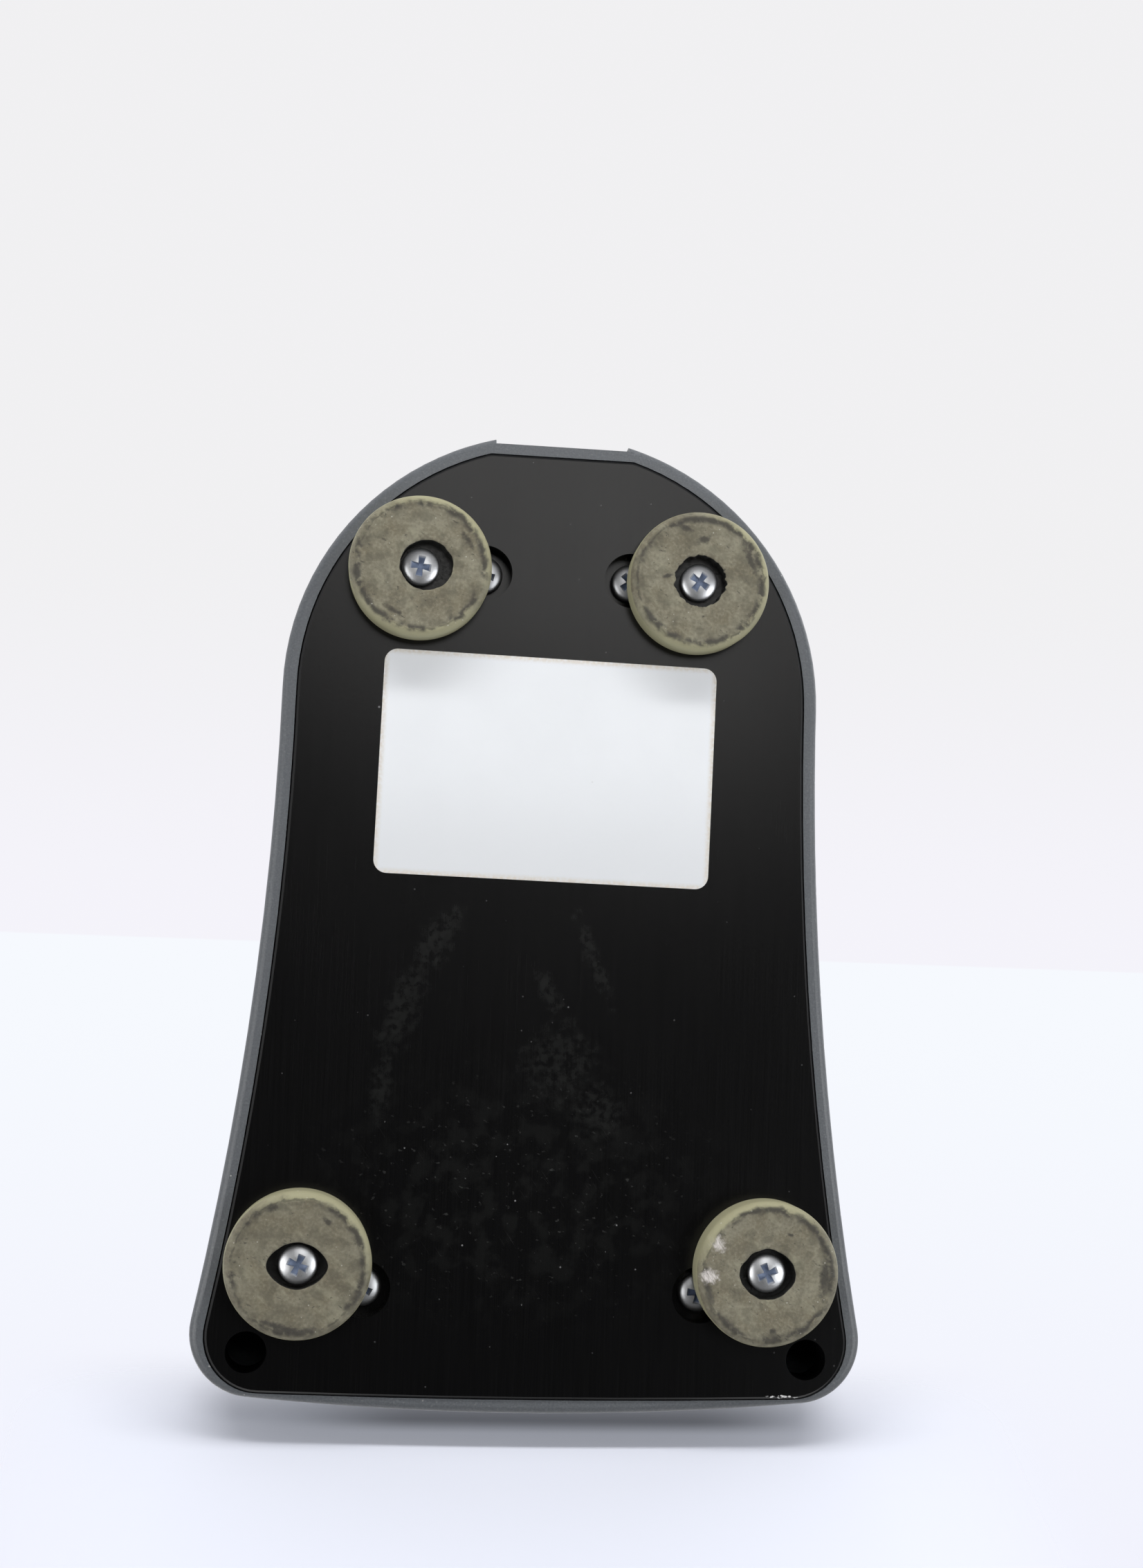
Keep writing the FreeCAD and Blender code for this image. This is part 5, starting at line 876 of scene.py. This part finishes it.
def model_foot(settings, wear):
    """Spins a foot, then hollows its worn face and tears the rim of its recess."""
    low, high = box_mm(wear.node)
    centre = (low + high) / 2
    top = high.z
    radius = mm(settings.radius)
    face = radius + mm(settings.spread)
    bore = mm(settings.bore_radius)
    depth = mm(settings.recess_depth)
    edge = mm(settings.edge_round)
    hole = mm(settings.recess_radius)
    flat = face - edge
    start = hole + 0.6
    rings = [(start + (flat - start) * step / FACE_RINGS, 0.0) for step in range(FACE_RINGS + 1)]
    wall = [(bore, top), (bore, depth), (hole - 0.1, depth), (hole, depth * 0.6), (hole, 1.2), (hole, 0.4)]
    lip = [(hole + 0.08, 0.12), (hole + 0.25, 0.02)]
    side = []
    for step in range(1, EDGE_STEPS + 1):
        turn = math.pi / 2 * step / EDGE_STEPS
        side.append((flat + edge * math.sin(turn), edge * (1 - math.cos(turn))))
    bm = turned(wall + lip + rings + side + [(radius, top)], FOOT_STEPS)
    from_middle = bm.verts.layers.float.new("from_middle")
    recess = bm.verts.layers.float.new("recess")
    clean = bm.verts.layers.float.new("clean")
    soot = bm.verts.layers.float.new("soot")
    for vert in bm.verts:
        x, y, z = vert.co
        reach = math.hypot(x, y)
        angle = math.atan2(y, x)
        vert[from_middle] = reach / face
        vert[soot] = wear.soot
        vert[recess] = 1.0 if reach < hole + 0.05 else 0.0
        # Toward the given angles the side's lighter colour runs in over the edge of the face
        facing = max(math.cos(angle - math.radians(way)) for way in wear.clean)
        vert[clean] = max(0.0, min(1.0, facing * 1.6 - 0.3))
        across = abs(math.cos(angle)) / (wear.width / 2)
        down = abs(math.sin(angle)) / (wear.depth / 2)
        torn = (across**wear.power + down**wear.power) ** (-1 / wear.power)
        spot = Vector((math.cos(angle) * wear.teeth + wear.seed, math.sin(angle) * wear.teeth, z * 0.12))
        torn *= 1 + wear.ragged * 2 * noise.fractal(spot, 1.0, 2.0, 2)
        near = max(0.0, 1 - abs(reach - hole) / TEAR_REACH)
        if z < depth + MERGE and reach > bore + 0.5:
            grown = reach + (torn - hole) * (near if reach > hole else 1.0)
            vert.co.x = math.cos(angle) * grown + wear.shift[0] * near
            vert.co.y = math.sin(angle) * grown + wear.shift[1] * near
        if z < 0.4 and hole < reach < flat + MERGE:
            lump = noise.fractal(Vector((vert.co.x * 0.25 + wear.seed, vert.co.y * 0.25, 0.0)), 0.7, 2.0, 3)
            hollow = 0.10 + 0.08 * max(-1.0, min(1.0, lump)) + 0.12 * (1 - reach / face)
            vert.co.z = z + hollow * min(1.0, (flat - reach) / 1.2 + 0.15)
    put(bm, Matrix.Translation((centre.x, centre.y, 0.0)))
    return new_piece("worn_" + wear.node, bm, "base", "foot_rubber", (wear.node,), 60.0)


# Pan heads: the dome's steps, its turn and its share of the head, and the cross's narrowings
SCREW_STEPS = 72
DOME_STEPS = 12
DOME_TURN = math.radians(82)
DOME_SHARE = 0.52
ARM_WAIST = 0.74
FLOOR_SHARE = 0.80


def cross_screw(settings, length):
    """A pan head screw, head down with its top at zero, with a tapered cross sunk into the head."""
    head = mm(settings.head_radius)
    height = mm(settings.head_height)
    reach = mm(settings.cross_reach)
    half = mm(settings.cross_width) / 2
    depth = mm(settings.cross_depth)
    shank = head / 2
    upper = height * 0.5
    dome = []
    for step in range(DOME_STEPS + 1):
        turn = DOME_TURN * step / DOME_STEPS
        dome.append((head * math.sin(turn), height * DOME_SHARE * (1 - math.cos(turn))))
    rest = [(head, height * 0.9), (head, height, 0.15), (shank, height), (shank, length, 0.4), (0.0, length)]
    bm = turned(dome + rest, SCREW_STEPS, closed=False)
    for axis in (Vector((1, 0, 0)), Vector((0, 1, 0))):
        for place in (-reach, -half, half, reach):
            everything = bm.verts[:] + bm.edges[:] + bm.faces[:]
            bmesh.ops.bisect_plane(bm, geom=everything, plane_co=axis * place, plane_no=axis, dist=MERGE)
    sunk = []
    for face in bm.faces:
        middle = face.calc_center_median()
        long_way = max(abs(middle.x), abs(middle.y))
        short_way = min(abs(middle.x), abs(middle.y))
        if middle.z < upper and long_way < reach and short_way < half:
            sunk.append(face)
    for vert in bm.verts:
        x, y, z = vert.co
        if z < upper and abs(y) < reach + MERGE and abs(abs(x) - half) < MERGE:
            vert.co.x *= arm_share(abs(y), half, reach)
        if z < upper and abs(x) < reach + MERGE and abs(abs(y) - half) < MERGE:
            vert.co.y *= arm_share(abs(x), half, reach)
    recess = bm.verts.layers.float.new("recess")
    floor = bmesh.ops.extrude_face_region(bm, geom=sunk)["geom"]
    floor = [item for item in floor if isinstance(item, bmesh.types.BMVert)]
    bmesh.ops.delete(bm, geom=sunk, context="FACES")
    for vert in floor:
        far = math.hypot(vert.co.x, vert.co.y) / reach
        vert.co.z = depth * (1.0 - 0.35 * far * far)
        vert.co.x *= FLOOR_SHARE
        vert.co.y *= FLOOR_SHARE
        vert[recess] = 1.0
    return tidied(bm)


def arm_share(along, half, reach):
    """Width of a flared arm of the cross, as a share of its width at the end."""
    return ARM_WAIST + (1 - ARM_WAIST) * max(0.0, min(1.0, (along - half) / (reach - half)))


def screw_set(name, node, spots, top, length, body, flip=False):
    """Puts a like screw at every spot, each stopped at its own turn."""
    settings = bpy.context.scene.mixer_screws
    bm = bmesh.new()
    for x, y, turn in spots:
        screw = cross_screw(settings, length)
        matrix = Matrix.Translation((x, y, top)) @ Matrix.Rotation(math.radians(turn), 4, "Z")
        if flip:
            matrix = matrix @ Matrix.Rotation(math.pi, 4, "X")
        put(screw, matrix)
        add_into(bm, screw)
    piece = new_piece(name, bm, body, "zinc_screw", (node,), 50.0)
    round_edges(piece, 0.07, 50.0)
    return piece


FOOT_SCREWS = ((31.8, 77.1, 8.0), (-31.8, 77.1, 33.0), (52.0, -78.0, 22.0), (-52.0, -78.0, -24.0))
HOUSING_SCREWS = ((16.9, 77.5, 15.0), (-16.9, 77.5, 50.0), (37.8, -83.8, 28.0), (-37.8, -83.8, 5.0))


class MIXER_OT_screws(Operator):
    """Model the cross screws of the feet, the housing and the head"""

    bl_idname = "mixer.screws"
    bl_label = "Cross screws"

    def execute(self, context):
        for node, spots in (("foot_screws", FOOT_SCREWS), ("housing_screws", HOUSING_SCREWS)):
            low, high = box_mm(node)
            screw_set("cross_" + node, node, spots, low.z, high.z - low.z, "base")
        low, high = box_mm("head_screw")
        middle = (low + high) / 2
        spot = ((middle.x, middle.y, 30.0),)
        screw_set("cross_head_screw", "head_screw", spot, high.z, high.z - low.z, "head", True)
        return {"FINISHED"}


# housing, plate and label


class MIXER_OT_shell(Operator):
    """Finish the housing, the base plate and the bare label"""

    bl_idname = "mixer.shell"
    bl_label = "Housing, plate and label"

    def execute(self, context):
        dress("housing", "base_plate", "rating_label")
        return {"FINISHED"}


# control panel


class MIXER_OT_panel(Operator):
    """Finish the control panel and print its dial and switch words"""

    bl_idname = "mixer.panel"
    bl_label = "Control panel"

    def execute(self, context):
        dress("control_panel")
        dial = context.scene.mixer_dial
        bm = bmesh.new()
        level = Matrix.Translation((0, 0, PANEL_TOP + PRINT_LIFT))
        knob = joint_frame("speed_knob_turn") @ level
        start = mm(dial.tick_start)
        steps = 2 * (dial.numbers - 1)
        for step in range(steps + 1):
            angle = dial.sweep - 2 * dial.sweep * step / steps
            arm = knob @ Matrix.Rotation(angle, 4, "Z")
            numbered = step % 2 == 0
            length = mm(dial.tick_length) * (1.0 if numbered else 0.55)
            half = 0.24 if numbered else 0.15
            strip(bm, (-half, start), (half, start + length), arm)
            if numbered:
                spot = Vector((-math.sin(angle), math.cos(angle), 0.0)) * mm(dial.number_radius)
                lettering(bm, str(step // 2 + 1), mm(dial.number_size), knob @ Matrix.Translation(spot))
        switch = joint_frame("power_rocker") @ Matrix.Translation((0, 0, -ROCKER_PIVOT_HEIGHT)) @ level
        for word, way in (("ON", 1), ("OFF", -1)):
            spot = Matrix.Translation((0, way * mm(dial.switch_word), 0))
            lettering(bm, word, mm(dial.number_size), switch @ spot)
        frame_line(bm, knob @ Matrix.Translation((-KNOB_X, 0, 0)))
        new_piece("panel_printing", bm, "base", "pointer_paint")
        return {"FINISHED"}


def frame_line(bm, matrix):
    """A thin line that follows the panel's edge a little inside it."""
    line = bmesh.new()
    corners = [(-53.6, -24.0), (53.6, -24.0), (49.9, 24.0), (-49.9, 24.0)]
    verts = [line.verts.new((x, y, 0.0)) for x, y in corners]
    line.faces.new(verts)
    round_corner(line, verts, 4.4)
    keep_border(line, 0.32)
    put(line, matrix)
    add_into(bm, line)


# Steps round the knob, and the radius of its smooth cap, in millimetres
KNOB_STEPS = 216
KNOB_CAP = 11.5


class MIXER_OT_knob(Operator):
    """Model the fluted speed knob"""

    bl_idname = "mixer.knob"
    bl_label = "Speed knob"

    def execute(self, context):
        dress("knob_pointer")
        knob = context.scene.mixer_knob
        start = mm(knob.flute_start)
        end = mm(knob.flute_end)
        top = mm(knob.top)
        outline = [
            (8.0, 2.2, 0.4),
            (17.0, 2.2, 0.5),
            (16.7, 5.0),
            (16.2, 6.1, 0.6),
            (14.4, 6.5),
            (13.6, 6.9, 0.3),
            (13.42, 7.9),
            (13.3, 8.8),
            (13.1, 12.0),
            (12.8, 15.5),
            (12.55, 18.6),
            (12.45, 19.9),
            (12.4, top, 1.0),
            (10.9, top),
            (9.9, 21.08),
            (3.0, 21.05),
            (0.0, 21.05),
        ]
        under = [(0.0, 17.1), (3.0, 17.1), (3.0, 9.2), (8.0, 9.2)]
        bm = turned(outline + under, KNOB_STEPS)
        for vert in bm.verts:
            x, y, z = vert.co
            reach = math.hypot(x, y)
            if reach > KNOB_CAP and z > start:
                near = 0.5 + 0.5 * math.cos(knob.flutes * math.atan2(y, x) + math.pi)
                bite = min(1.0, z - start) * max(0.0, min(1.0, (top - z) / (top - end)))
                cut = mm(knob.flute_depth) * bite * near**3
                vert.co.x *= 1 - cut / reach
                vert.co.y *= 1 - cut / reach
        put(bm, joint_frame("speed_knob_turn"))
        new_piece("fluted_knob", bm, "knob", "knob_plastic", ("speed_knob",), 40.0)
        return {"FINISHED"}


class MIXER_OT_switch(Operator):
    """Soften the switch and put its marks on the rocker"""

    bl_idname = "mixer.switch"
    bl_label = "Rocker switch"

    def execute(self, context):
        softened_copy("switch_body", "base", 0.35)
        softened_copy("rocker", "rocker", 0.30)
        rocker = joint_frame("power_rocker")
        bm = bmesh.new()
        strip(bm, (-0.45, 5.0), (0.45, 9.0), Matrix.Identity(4))
        ring = bmesh.new()
        bmesh.ops.create_circle(ring, cap_ends=True, radius=2.1, segments=40)
        keep_border(ring, 0.65)
        put(ring, Matrix.Translation((0, -7.0, 0)))
        add_into(bm, ring)
        lay_on(bm, "rocker", rocker)
        new_piece("switch_marks", bm, "rocker", "pointer_paint")
        return {"FINISHED"}


def lay_on(bm, node, matrix):
    """Drops a flat mark onto a CAD node along the deck's own normal."""
    surface = bmesh.new()
    surface.from_mesh(NODES[node].data)
    bmesh.ops.scale(surface, vec=(1 / MM, 1 / MM, 1 / MM), verts=surface.verts)
    tree = BVHTree.FromBMesh(surface)
    down = matrix.to_3x3() @ Vector((0, 0, -1))
    for vert in bm.verts:
        start = matrix @ (vert.co + Vector((0, 0, 30)))
        place, normal, index, distance = tree.ray_cast(start, down)
        if place is None:
            raise RuntimeError("A mark misses " + node)
        vert.co = place - down * PRINT_LIFT
    surface.free()


# inlet


class MIXER_OT_inlet(Operator):
    """Soften the power inlet and its fuse drawer and finish what they hold"""

    bl_idname = "mixer.inlet"
    bl_label = "Power inlet"

    def execute(self, context):
        softened_copy("power_inlet", "base", 0.4)
        softened_copy("fuse_drawer", "fuse_drawer", 0.3)
        softened_copy("inlet_blades", "base", 0.3)
        dress("fuse_caps", "fuse_glass")
        return {"FINISHED"}


# head


CUP_STEPS = 160
CUP_LIP = 33.2
CUP_UNDERSIDE = 136.2
CUP_SCREW_SEAT = 136.0


class MIXER_OT_head(Operator):
    """Model the rubber cup and finish the collar under it"""

    bl_idname = "mixer.head"
    bl_label = "Cup head"

    def execute(self, context):
        dress("head_collar", "head_platform", "guide_pins")
        head = context.scene.mixer_head
        low, high = box_mm("cup_head")
        seat = box_mm("head_platform")[1].z
        radius = mm(head.radius)
        top = mm(head.top_radius)
        bowl = mm(head.bowl_radius)
        floor = mm(head.bowl_floor)
        shoulder = mm(head.shoulder)
        outline = [
            (CUP_LIP, low.z),
            (radius, low.z, 1.0),
            (radius, low.z + 3.4),
            (radius - 0.7, low.z + 3.9, 0.2),
            (radius - 0.7, low.z + 4.7, 0.2),
            (radius, low.z + 5.2),
            (radius, shoulder - 1.0, 5.0),
            (top + 0.9, high.z - 3.2, 0.6),
            (top + 0.55, high.z - 2.6, 0.3),
            (top, high.z, 1.6),
            (bowl, high.z, 1.8),
            (9.0, floor, 5.0),
            (5.0, floor, 0.3),
            (5.0, CUP_SCREW_SEAT),
            (2.3, CUP_SCREW_SEAT),
            (2.3, seat),
            (16.0, seat),
            (16.0, CUP_UNDERSIDE),
            (31.5, CUP_UNDERSIDE),
            (31.5, seat),
            (CUP_LIP, seat),
        ]
        bm = turned(outline, CUP_STEPS)
        middle = (low + high) / 2
        put(bm, Matrix.Translation((middle.x, middle.y, 0.0)))
        new_piece("rubber_cup", bm, "head", "head_rubber", ("cup_head",), 40.0)
        return {"FINISHED"}


# inside


class MIXER_OT_drive(Operator):
    """Finish every piece of the drive and the electrics inside the housing"""

    bl_idname = "mixer.drive"
    bl_label = "Drive and electrics"

    def execute(self, context):
        bm = merged_copy("thrust_spring")
        spring = new_piece("pressed_spring", bm, "base", "machined_steel", ("thrust_spring",))
        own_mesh(spring)
        dress(*(name for name in NODES if name not in REPLACED))
        return {"FINISHED"}


# stage


def strip_look(f):
    """How solid the strip of floor is, as it thins out to its edges, and its deep shade under the rim."""
    here = f.about()
    across = f.along(here, "X")
    height = f.along(here, "Z")
    solid = f.ease(abs(across), 132, 80) * f.ease(height, 45, 19)
    # Painted shade: a dark band on the strip close under the lifted rim
    shade = f.ease(abs(across + 8.0), 66, 30) * f.ease(height, 15.5, 20.5)
    return solid, shade * 0.65


def pale_sheet(name, colour, own, corners, look=None):
    """A one-sided pale sheet that takes shadow but gives no light back to the mixer."""
    material = bpy.data.materials.new(name)
    material.use_nodes = True
    f = Shading(material.node_tree)
    cloud = f.grain(160, 2.0)
    tone = f.blend(f.ease(cloud, 0.3, 0.7), tint(colour, (1 - own) * 0.98), tint(colour, 1 - own))
    unseen = f.node("ShaderNodeNewGeometry", {}, {}, "Backfacing")
    if look is not None:
        solid, shade = look(f)
        unseen = unseen | (1 - solid)
        # Painted shade: the look darkens the sheet's tone toward black
        tone = f.blend(shade, tone, (0.0, 0.0, 0.0))
    matt = f.node("ShaderNodeBsdfDiffuse", {}, {"Color": tone})
    glow = f.node("ShaderNodeEmission", {}, {"Color": colour, "Strength": own})
    pale = f.node("ShaderNodeAddShader", {}, {0: matt, 1: glow})
    clear = f.node("ShaderNodeBsdfTransparent")
    mixed = f.node("ShaderNodeMixShader", {}, {0: unseen, 1: pale, 2: clear})
    f.node("ShaderNodeOutputMaterial", {}, {"Surface": mixed})
    bm = bmesh.new()
    bm.faces.new([bm.verts.new(corner) for corner in corners])
    mesh = bpy.data.meshes.new(name)
    bm.to_mesh(mesh)
    bm.free()
    mesh.materials.append(material)
    sheet = bpy.data.objects.new(name, mesh)
    bpy.context.scene.collection.objects.link(sheet)
    sheet.visible_shadow = False
    sheet.visible_diffuse = False
    sheet.visible_glossy = False
    sheet.visible_transmission = False
    return sheet


def area_lamp(name, place, aim, size, level, colour):
    """A soft lamp, width by depth, that lights a facing surface at the aim to the given level."""
    lamp = bpy.data.lights.new(name, "AREA")
    lamp.shape = "RECTANGLE"
    lamp.size, lamp.size_y = size
    lamp.color = colour
    gap = Vector(aim) - Vector(place)
    lamp.energy = level * math.pi**2 * gap.length_squared
    holder = bpy.data.objects.new(name, lamp)
    holder.location = place
    holder.rotation_euler = gap.to_track_quat("-Z", "Y").to_euler()
    bpy.context.scene.collection.objects.link(holder)
    return holder


def soft_room(settings, floor_side):
    """A room that is pale all round and dim below the bench, with the floor's tone high on the floor side."""
    world = bpy.data.worlds.new("soft room")
    bpy.context.scene.world = world
    world.use_nodes = True
    f = Shading(world.node_tree)
    toward = f.node("ShaderNodeTexCoord", output="Generated")
    upward = f.along(toward, "Z")
    inputs = {0: toward, 1: floor_side}
    below = f.node("ShaderNodeVectorMath", {"operation": "DOT_PRODUCT"}, inputs, "Value")
    zenith = f.ease(upward, 0.60, 0.75)
    dim = tint(settings.room_colour, 0.03)
    bright = tint(settings.room_colour, settings.room_glow)
    tone = f.blend(f.ease(upward, -0.95, 0.25), dim, bright)
    tone = f.blend(f.ease(below, -0.20, 0.0) * zenith, tone, settings.room_low)
    floor = f.blend(f.ease(below, 0.0, 0.30), settings.floor_far, settings.floor_near)
    tone = f.blend(f.ease(below, 0.0, 0.0012) * zenith, tone, floor)
    back = f.node("ShaderNodeBackground", {}, {"Color": tone, "Strength": 1.0})
    f.node("ShaderNodeOutputWorld", {}, {"Surface": back})


# The camera of the photograph: its place in metres, its right and the way it looks
EYE = Vector((0.04698, -0.00767, -0.45286))
EYE_RIGHT = Vector((-0.9928, 0.036, -0.1145)).normalized()
EYE_AHEAD = Vector((-0.1113, 0.0812, 0.9905)).normalized()

# The strip of floor under the front end, the bench and the point that the lamps face, in metres
STRIP_BEFORE = 0.09
STRIP_BEHIND = 0.02
STRIP_HALF_WIDTH = 0.135
BENCH_REACH = 3.0
LAMP_AIM = (0.0, 0.0, 0.02)


class MIXER_OT_stage(Operator):
    """Set up the floor, the room, the lamps and the camera"""

    bl_idname = "mixer.stage"
    bl_label = "Studio"

    def execute(self, context):
        settings = context.scene.mixer_stage
        up = Vector((0.0, math.cos(settings.lean), -math.sin(settings.lean)))
        back = Vector((0.0, math.sin(settings.lean), math.cos(settings.lean)))
        side = Vector((1.0, 0.0, 0.0))
        contact = min((vert.co.dot(up), vert.co) for vert in NODES["housing"].data.vertices)[1]
        start = up * contact.dot(up) + back * contact.dot(back)
        far = start + back * settings.floor_end
        near = start - back * STRIP_BEFORE
        top = start + back * STRIP_BEHIND
        half = side * STRIP_HALF_WIDTH
        floor = [near - half, top - half, top + half, near + half]
        strip_colour = tint(settings.floor_colour, 0.945)
        pale_sheet("floor_under_front", strip_colour, settings.floor_glow, floor, strip_look)
        bench = [Vector((x, y, 0)) * BENCH_REACH for x, y in ((-1, -1), (1, -1), (1, 1), (-1, 1))]
        pale_sheet("bench", settings.floor_colour, settings.floor_glow, bench)
        lamps = (
            ("key", (-0.12, 0.38, -0.92), (0.45, 0.45), settings.key, (1.0, 0.99, 0.975)),
            ("over", up * 0.9, (1.3, 0.10), settings.over, (1.0, 0.99, 0.98)),
            ("left side", (0.80, -0.22, -0.72), (0.6, 0.6), settings.sides, (1.0, 0.99, 0.98)),
            ("right side", (-0.80, -0.22, -0.72), (0.6, 0.6), settings.sides, (0.98, 0.99, 1.0)),
            ("top", (1.1, -1.3, 2.0), (1.4, 1.4), settings.top, (1.0, 0.99, 0.97)),
            ("fill", (-2.2, 0.8, 1.05), (1.6, 1.6), settings.fill, (0.94, 0.97, 1.0)),
        )
        for name, place, size, level, colour in lamps:
            lamp = area_lamp(name, place, LAMP_AIM, size, level, colour)
            lamp.visible_glossy = name != "over"
        floor_side = (far + side - EYE).cross(far - side - EYE).normalized()
        if floor_side.dot(start - EYE) < 0:
            floor_side.negate()
        soft_room(settings, floor_side)
        lens = bpy.data.cameras.new("photo")
        lens.lens = settings.lens
        lens.clip_start = 0.01
        camera = bpy.data.objects.new("photo", lens)
        turn = Matrix((EYE_RIGHT, EYE_RIGHT.cross(EYE_AHEAD), -EYE_AHEAD)).transposed().to_4x4()
        camera.matrix_world = Matrix.Translation(EYE) @ turn
        context.scene.collection.objects.link(camera)
        context.scene.camera = camera
        context.scene.view_settings.view_transform = "Standard"
        return {"FINISHED"}


# add-on

PIECES = (
    MIXER_OT_shell,
    MIXER_OT_feet,
    MIXER_OT_screws,
    MIXER_OT_panel,
    MIXER_OT_knob,
    MIXER_OT_switch,
    MIXER_OT_inlet,
    MIXER_OT_head,
    MIXER_OT_drive,
    MIXER_OT_stage,
)
GROUPS = {
    "mixer_paint": PaintSettings,
    "mixer_feet": FootSettings,
    "mixer_screws": ScrewSettings,
    "mixer_dial": DialSettings,
    "mixer_knob": KnobSettings,
    "mixer_head": HeadSettings,
    "mixer_stage": StageSettings,
}


class MIXER_PT_sidebar(Panel):
    """Lists the mixer's pieces and their settings"""

    bl_label = "Vortex Mixer"
    bl_space_type = "VIEW_3D"
    bl_region_type = "UI"
    bl_category = "Mixer"

    def draw(self, context):
        for operator in PIECES:
            self.layout.operator(operator.bl_idname)
        for name, group in GROUPS.items():
            settings = getattr(context.scene, name)
            area = self.layout.box()
            for field in group.__annotations__:
                area.prop(settings, field)


def register():
    for name, group in GROUPS.items():
        bpy.utils.register_class(group)
        setattr(bpy.types.Scene, name, PointerProperty(type=group))
    for operator in PIECES:
        bpy.utils.register_class(operator)
    bpy.utils.register_class(MIXER_PT_sidebar)


def unregister():
    bpy.utils.unregister_class(MIXER_PT_sidebar)
    for operator in reversed(PIECES):
        bpy.utils.unregister_class(operator)
    for name, group in GROUPS.items():
        delattr(bpy.types.Scene, name)
        bpy.utils.unregister_class(group)


def main():
    register()
    bpy.ops.mixer.shell()
    bpy.ops.mixer.feet()
    bpy.ops.mixer.screws()
    bpy.ops.mixer.panel()
    bpy.ops.mixer.knob()
    bpy.ops.mixer.switch()
    bpy.ops.mixer.inlet()
    bpy.ops.mixer.head()
    bpy.ops.mixer.drive()
    bpy.ops.mixer.stage()


if __name__ == "__main__":
    main()
